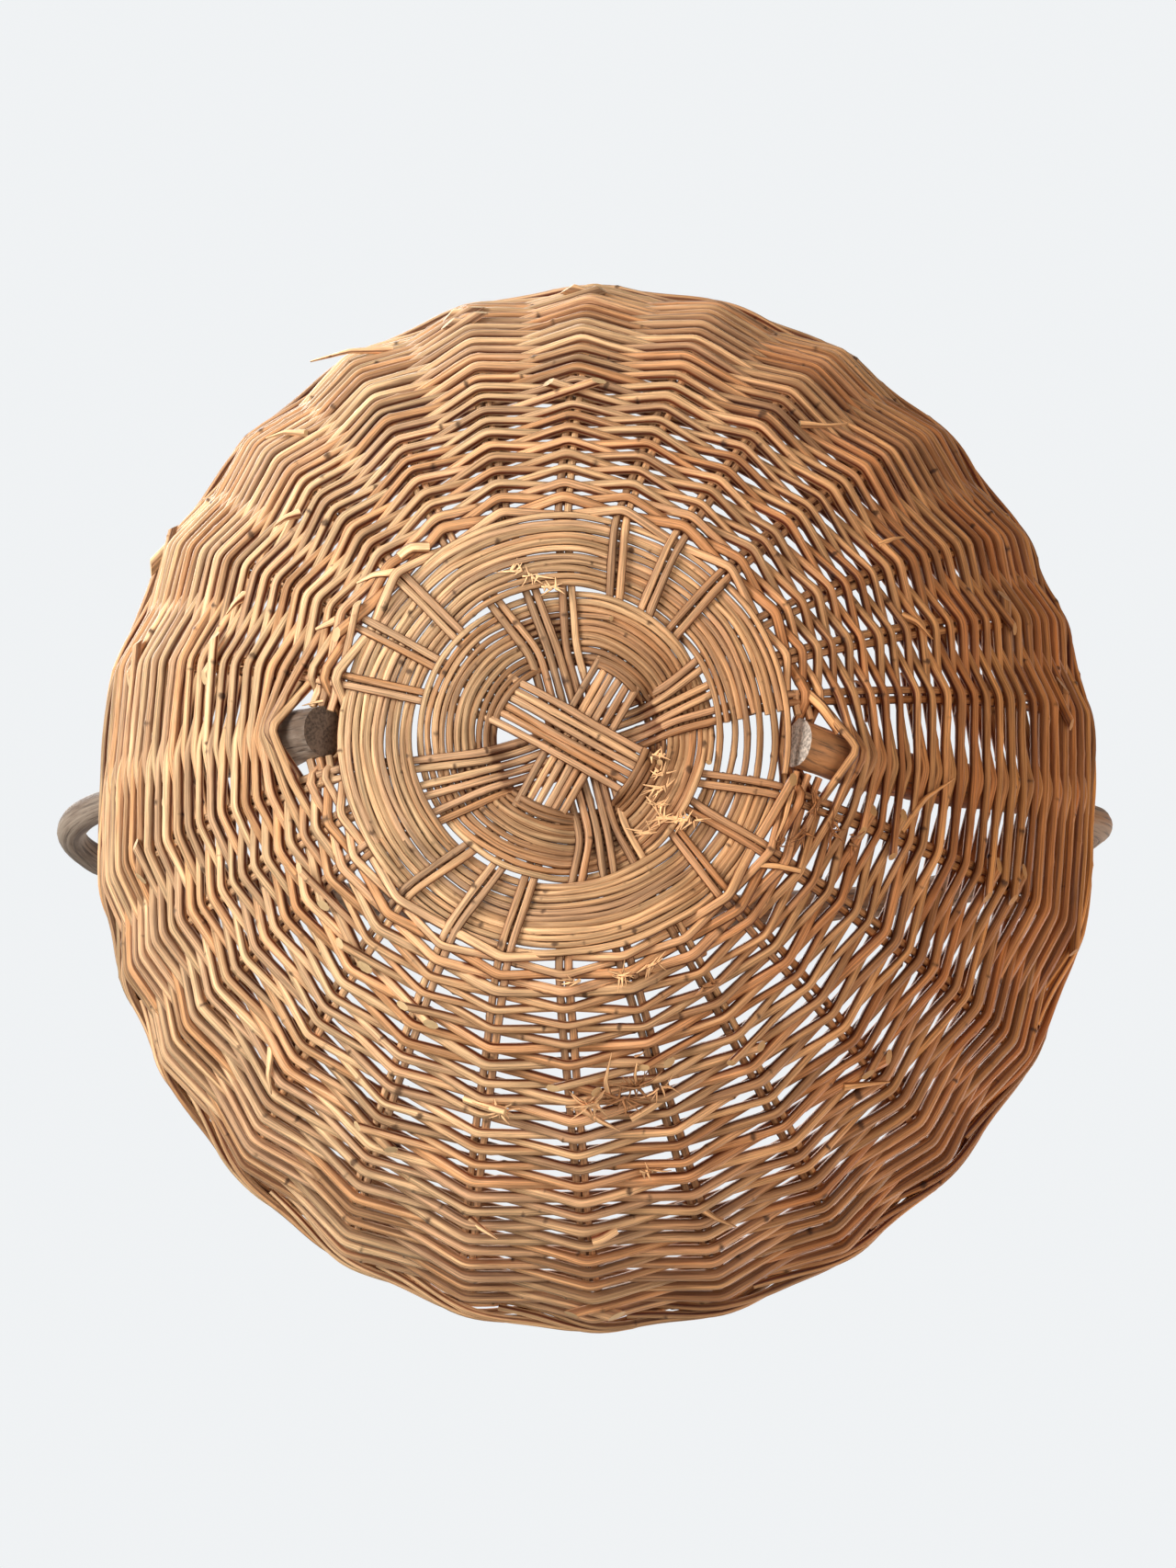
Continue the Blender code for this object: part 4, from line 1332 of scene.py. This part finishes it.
def strand_corner(form, rods, turn, step, side):
    """Where one rod of a border strand is when the strand is some stake steps on its way."""
    steps, laps = zip(*BORDER_LAPS)
    lap = math.radians(float(np.interp(step, steps, laps)))
    out, lift = math.cos(lap), math.sin(lap)
    level = ray(turn)
    middle = rim_point(form, turn, form.rim_height + BORDER_HALF + rods.border_lift)
    swing = rods.scallop * math.cos(2.0 * math.pi * step) - rods.border_inset
    strand = middle + level * (rods.border_coil * out + swing) + UP * (rods.border_coil * lift)
    return strand - (UP * out - level * lift) * (side * (rods.border + rods.strand_gap) / 2)


def make_border():
    form, rods, _ = settings()
    wall = Wall(form)
    stakes = stake_turns()
    turns = stakes + [turn + 360.0 for turn in stakes]
    half_pair = (rods.border + rods.strand_gap) / 2
    laid = []
    for spot, stake in enumerate(stakes):
        rng = np.random.default_rng(BORDER_SEEDS[0] + spot)
        for side in (-1, 1):
            aside = wall.around(stake, wall.length) * (side * half_pair)
            corners = [wall.point(stake, wall.length - below) + aside for below in BELOW_RIM]
            for step in np.arange(BORDER_STEP, BORDER_LAPS[-1][0] + 0.01, BORDER_STEP):
                turn = float(np.interp(spot + step, range(len(turns)), turns))
                corners.append(strand_corner(form, rods, turn, step, side))
            size = rods.border * rng.uniform(0.92, 1.06)
            laid.append(lay_rod(corners, (size, size * 0.88), rod_tone(rng, 0.45, 0.5), rng,
                                rounding=0.012, wander=0.0004))
    material = willow_material("willow_side_rods")
    piece = rods_to_mesh("willow_rim_border", laid, material, BORDER_SEEDS[1])
    place_piece(piece, "weaver_willow", "rim_border")


def pointed(butt, tip, thick, blunt, bow, tone, rng):
    """A broken rod from its butt to its tip, bowed and drawn out to a point or left blunt."""
    butt, tip = np.asarray(butt), np.asarray(tip)
    middle = (butt + tip) / 2 + bow + rng.normal(0.0, 0.04, 3) * np.linalg.norm(tip - butt)
    corners = [butt, butt * 0.55 + middle * 0.45, middle, middle * 0.45 + tip * 0.55, tip]
    return lay_rod(corners, (thick, thick * blunt), tone, rng, rounding=0.003, wander=0.0001)


def tuft(root, across, up, out, count, longest, tone, rng):
    """Torn fibres that stand out around a break in a rod."""
    fibres = []
    for _ in range(count):
        angle = rng.uniform(0.0, 2 * math.pi)
        way = across * (1.5 * math.cos(angle)) + up * math.sin(angle)
        start = root + way * rng.uniform(-0.0015, 0.0015) + across * rng.uniform(-0.003, 0.003)
        ending = start + way * longest * rng.uniform(0.35, 1.0)
        ending += out * longest * rng.uniform(0.0, 0.45)
        bow = out * rng.uniform(0.0, 0.25) * longest
        fibres.append(pointed(start, ending, rng.uniform(0.0009, 0.0021), 0.25, bow, tone, rng))
    return fibres


def make_broken_ends():
    """The broken rods, splinters and torn fibres on the wall and under the base."""
    form, rods, _ = settings()
    wall = Wall(form)
    rng = np.random.default_rng(BROKEN_SEEDS[0])
    face = (rods.stake + rods.low_weaver) / 2 + SPLINTER_LIFT
    laid = []
    for butt, tip, standing, thick, blunt in WALL_SPLINTERS:
        start = wall.offset(*butt, face - BUTT_DEPTH)
        ending = wall.offset(*tip, face + standing)
        bow = wall.outward(*tip) * SPLINTER_BOW
        laid.append(pointed(start, ending, thick, blunt, bow, PALE_SPLIT, rng))
    for butt, tip in PACKING_RODS:
        start, ending = wall.offset(*butt, 0.0), wall.offset(*tip, -PACKING_DEPTH)
        bow = wall.outward(*tip) * -PACKING_DEPTH
        laid.append(pointed(start, ending, PACKING_ROD, 0.9, bow, rod_tone(rng), rng))
    for turn, along, count, longest, is_dark in WALL_TUFTS:
        out, across = wall.outward(turn, along), wall.around(turn, along)
        laid += tuft(wall.offset(turn, along, face), across, unit(np.cross(out, across)), out,
                     count, longest, DARK_SPLIT if is_dark else PALE_SPLIT, rng)
    for x, y, count, longest in BASE_TUFTS:
        laid += tuft(np.array((x, y, TUFT_HEIGHT)), ray(0.0), ray(90.0), -UP * 0.3, count,
                     longest, PALE_SPLIT, rng)
    piece = rods_to_mesh("willow_broken_ends", laid, willow_material("willow_split_wood"),
                         BROKEN_SEEDS[1], sides=6)
    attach(piece, BODY)


def leg_line(branch, wall, turn, tip):
    """A leg of the handle from beyond its peg's tip up to the rim: points and radii."""
    line = []
    for along in np.linspace(branch.peg_end, wall.length, 16):
        aside = ray(turn + 90.0) * leg_aside(turn, along / wall.length)
        line.append((wall.offset(turn, along, leg_offset(branch, along)) + aside,
                     leg_radius(branch, wall, along)))
    tip = np.array(tip)
    beyond = tip + unit(tip - line[0][0]) * PAST_TIP
    return [(beyond, branch.peg_radius), (tip, branch.peg_radius)] + line


def hoop_line(form, branch):
    """The hoop above the rim: points and radii."""
    line = []
    for across, sway, rise, knee in HOOP_SHARES:
        turn = 0.0 if across > 0 else 180.0
        leaving = leg_aside(turn, 1.0) * (1.0 - rise) ** 2
        spot = np.array((across * branch.half_span, sway * branch.sway + leaving,
                         form.rim_height + rise * branch.rise))
        line.append((spot, branch.arch_radius + (branch.knee_radius - branch.arch_radius) * knee))
    return line


def make_handle():
    form, _, branch = settings()
    wall = Wall(form)
    left = leg_line(branch, wall, 180.0, branch.left_tip)
    right = leg_line(branch, wall, 0.0, branch.right_tip)
    knots = left + hoop_line(form, branch) + right[::-1]
    corners = [spot for spot, _ in knots]
    rng = np.random.default_rng(HANDLE_SEEDS[0])
    line = rounded(flowing(corners), 0.010, 0.0, rng)
    reach = reach_along(line)
    knot_reach = reach_along(corners)
    knot_reach *= reach[-1] / knot_reach[-1]
    places = np.linspace(0.0, reach[-1], int(reach[-1] / BRANCH_RING_GAP))
    radii = np.interp(places, knot_reach, [radius for _, radius in knots])
    radii *= 1.0 + drifting(places, reach[-1], 0.03, 0.045, rng)
    spots, radii = closed(points_at(places, reach, line), radii, 0.0001, 0.95)
    plain = np.zeros(len(radii))
    rod = Rod(spots, radii, np.pad(places, 2, mode="edge"), (0.5, 0.5, 0.5), plain, plain, plain)
    piece = rods_to_mesh("bentwood_hoop_handle", [rod], bark_material("branch_worn_bark"),
                         HANDLE_SEEDS[1], sides=20)
    roughen_bark(piece, BARK_SEED)
    for name, side, wood, tip, cut in (
            ("peg_face_left", -1.0, branch.left_wood, branch.left_tip, branch.left_cut),
            ("peg_face_right", 1.0, branch.right_wood_lightened, branch.right_tip, branch.right_cut)):
        whittle(piece, side, tip, cut, face_material(name, wood, tip, cut))
    select_only(piece)
    bpy.ops.object.shade_smooth_by_angle(angle=math.radians(50.0))
    place_piece(piece, "branch_bark", "hoop_handle")


def roughen_bark(piece, seed):
    """Gives the branch its uneven round: it is never quite circular, and it has small knots."""
    normals = [vertex.normal.copy() for vertex in piece.data.vertices]
    for vertex, normal in zip(piece.data.vertices, normals):
        broad = noise.noise(vertex.co * 55.0 + Vector((seed, 0.0, 0.0)))
        fine = noise.noise(vertex.co * 260.0 + Vector((0.0, seed, 0.0)))
        vertex.co += normal * (BARK_SWELL * broad + BARK_GRAIN * fine)


def whittle(piece, side, middle, direction, material):
    """Cuts a peg end off along a flat face, and its lowest tip level with the floor."""
    piece.data.materials.append(material)
    cuts = ((middle, unit(np.array(direction))), ((0.0, 0.0, FLOOR_CLEARANCE), -UP))
    for spot, outwards in cuts:
        select_only(piece)
        bpy.ops.object.mode_set(mode="EDIT")
        bpy.ops.mesh.select_mode(type="VERT")
        bpy.ops.mesh.select_all(action="DESELECT")
        bpy.ops.object.mode_set(mode="OBJECT")
        for vertex in piece.data.vertices:
            vertex.select = vertex.co.x * side > 0.0 and vertex.co.z < PEG_TOP
        bpy.ops.object.mode_set(mode="EDIT")
        bpy.ops.mesh.bisect(plane_co=tuple(spot), plane_no=tuple(outwards), use_fill=True,
                            clear_outer=True)
        piece.active_material_index = len(piece.data.materials) - 1
        bpy.ops.object.material_slot_assign()
        bpy.ops.object.mode_set(mode="OBJECT")


# Stage

def make_camera(studio):
    bpy.ops.object.camera_add(location=studio.camera_place, rotation=studio.camera_turn)
    camera = bpy.context.object
    camera.name = "photo_camera"
    camera.data.sensor_fit = "HORIZONTAL"
    camera.data.sensor_width = 36.0
    camera.data.lens = studio.lens
    camera.data.clip_end = 50.0
    bpy.context.scene.camera = camera


def add_lamp(name, place, size, power):
    aim = (Vector(LAMP_AIM) - Vector(place)).to_track_quat("-Z", "Y")
    bpy.ops.object.light_add(type="AREA", location=place, rotation=aim.to_euler())
    lamp = bpy.context.object
    lamp.name = name
    lamp.data.size = size
    lamp.data.energy = power


def seen_rays(tree):
    """1 for the rays that show the backdrop: camera, glossy and transmission rays."""
    path = new_node(tree, "ShaderNodeLightPath")
    seen = maths(tree, "MAXIMUM", path.outputs["Is Camera Ray"], path.outputs["Is Glossy Ray"])
    return maths(tree, "MAXIMUM", seen, path.outputs["Is Transmission Ray"])


def mixed(tree, factor, hidden, shown, target):
    """Mixes two shaders into the tree's output."""
    mix = new_node(tree, "ShaderNodeMixShader")
    for number, source in enumerate((factor, hidden, shown)):
        link(tree, source, mix.inputs[number])
    link(tree, mix.outputs["Shader"], tree.nodes[target].inputs["Surface"])


def make_world(studio):
    world = bpy.data.worlds.new("studio")
    bpy.context.scene.world = world
    world.use_nodes = True
    tree = world.node_tree
    ambient = tree.nodes["Background"]
    ambient.inputs["Color"].default_value = (*studio.ambient, 1.0)
    ambient.inputs["Strength"].default_value = studio.ambient_power
    backdrop = new_node(tree, "ShaderNodeBackground")
    backdrop.inputs["Color"].default_value = (*studio.backdrop, 1.0)
    mixed(tree, seen_rays(tree), ambient.outputs["Background"], backdrop.outputs["Background"],
          "World Output")


def make_floor(studio):
    """A pale floor that is only there from above, so that the camera below sees past it."""
    bpy.ops.mesh.primitive_plane_add(size=FLOOR_SIZE, location=(0.0, 0.0, -FLOOR_DROP))
    floor = bpy.context.object
    floor.name = "studio_floor"
    material, tree, shader = new_material("studio_floor")
    shader.inputs["Base Color"].default_value = (*shaded(studio.backdrop, FLOOR_SHADE), 1.0)
    shader.inputs["Roughness"].default_value = 0.9
    shader.inputs["Specular IOR Level"].default_value = 0.0
    spot = parts_of(tree, object_place(tree))
    squares = maths(tree, "ADD", maths(tree, "MULTIPLY", spot["X"], spot["X"]),
                    maths(tree, "MULTIPLY", spot["Y"], spot["Y"]))
    away = span(tree, maths(tree, "POWER", squares, 0.5), *GLOW_FADE)
    glow = blend(tree, away, shaded(studio.backdrop, GLOW_NEAR), shaded(studio.backdrop, GLOW_FAR))
    link(tree, glow, shader.inputs["Emission Color"])
    shader.inputs["Emission Strength"].default_value = 1.0
    clear = new_node(tree, "ShaderNodeBsdfTransparent")
    facing_side = new_node(tree, "ShaderNodeNewGeometry")
    upper = maths(tree, "SUBTRACT", 1.0, facing_side.outputs["Backfacing"])
    mixed(tree, maths(tree, "MULTIPLY", seen_rays(tree), upper), clear.outputs["BSDF"],
          shader.outputs["BSDF"], "Material Output")
    floor.data.materials.append(material)


def make_stage():
    studio = bpy.context.scene.studio_settings
    bpy.context.scene.view_settings.view_transform = "Standard"
    make_camera(studio)
    make_world(studio)
    make_floor(studio)
    for name, lamp in LAMPS.items():
        add_lamp(name, *lamp)


# Operators and panel

class BASKET_OT_stage(bpy.types.Operator):
    """Sets up the camera, the pale floor and the studio light"""
    bl_idname = "basket.stage"
    bl_label = "Studio"

    def execute(self, context):
        make_stage()
        return {"FINISHED"}


class BASKET_OT_stakes(bpy.types.Operator):
    """Lays the rods that cross in the base and stand up as the stakes of the wall"""
    bl_idname = "basket.stakes"
    bl_label = "Base and stake rods"

    def execute(self, context):
        make_stakes()
        return {"FINISHED"}


class BASKET_OT_base_weave(bpy.types.Operator):
    """Weaves the inner and the outer band of the base"""
    bl_idname = "basket.base_weave"
    bl_label = "Base weaving"

    def execute(self, context):
        make_base_weave()
        return {"FINISHED"}


class BASKET_OT_side_weave(bpy.types.Operator):
    """Weaves the side as one spiral around the stakes and the handle's legs"""
    bl_idname = "basket.side_weave"
    bl_label = "Side weaving"

    def execute(self, context):
        make_side_weave()
        return {"FINISHED"}


class BASKET_OT_border(bpy.types.Operator):
    """Bends the stakes' tips over and rolls them into the border"""
    bl_idname = "basket.border"
    bl_label = "Rolled border"

    def execute(self, context):
        make_border()
        return {"FINISHED"}


class BASKET_OT_broken_ends(bpy.types.Operator):
    """Breaks and frays some of the rods"""
    bl_idname = "basket.broken_ends"
    bl_label = "Broken ends"

    def execute(self, context):
        make_broken_ends()
        return {"FINISHED"}


class BASKET_OT_handle(bpy.types.Operator):
    """Shapes the bent branch that is both legs and hoop"""
    bl_idname = "basket.handle"
    bl_label = "Hoop handle"

    def execute(self, context):
        make_handle()
        return {"FINISHED"}


class BASKET_PT_panel(bpy.types.Panel):
    """Lists the steps of making the basket"""
    bl_idname = "BASKET_PT_panel"
    bl_label = "Gathering basket"
    bl_space_type = "VIEW_3D"
    bl_region_type = "UI"
    bl_category = "Basket"

    def draw(self, context):
        for operator in OPERATORS:
            self.layout.operator(operator.bl_idname)
        for group in PROPERTIES:
            settings_of = getattr(context.scene, group)
            box = self.layout.box()
            for name in settings_of.bl_rna.properties.keys():
                if name not in {"rna_type", "name"}:
                    box.prop(settings_of, name)


PROPERTIES = {
    "basket_form": BasketForm,
    "rod_sizes": RodSizes,
    "willow_colours": WillowColours,
    "branch_form": BranchForm,
    "studio_settings": StudioSettings,
}
OPERATORS = (BASKET_OT_stage, BASKET_OT_stakes, BASKET_OT_base_weave, BASKET_OT_side_weave,
             BASKET_OT_border, BASKET_OT_broken_ends, BASKET_OT_handle)


def register():
    for name, group in PROPERTIES.items():
        bpy.utils.register_class(group)
        setattr(bpy.types.Scene, name, PointerProperty(type=group))
    for operator in OPERATORS:
        bpy.utils.register_class(operator)
    bpy.utils.register_class(BASKET_PT_panel)


def unregister():
    bpy.utils.unregister_class(BASKET_PT_panel)
    for operator in reversed(OPERATORS):
        bpy.utils.unregister_class(operator)
    for name, group in PROPERTIES.items():
        delattr(bpy.types.Scene, name)
        bpy.utils.unregister_class(group)


def main():
    register()
    bpy.ops.basket.stage()
    bpy.ops.basket.stakes()
    bpy.ops.basket.base_weave()
    bpy.ops.basket.side_weave()
    bpy.ops.basket.border()
    bpy.ops.basket.broken_ends()
    bpy.ops.basket.handle()


if __name__ == "__main__":
    main()
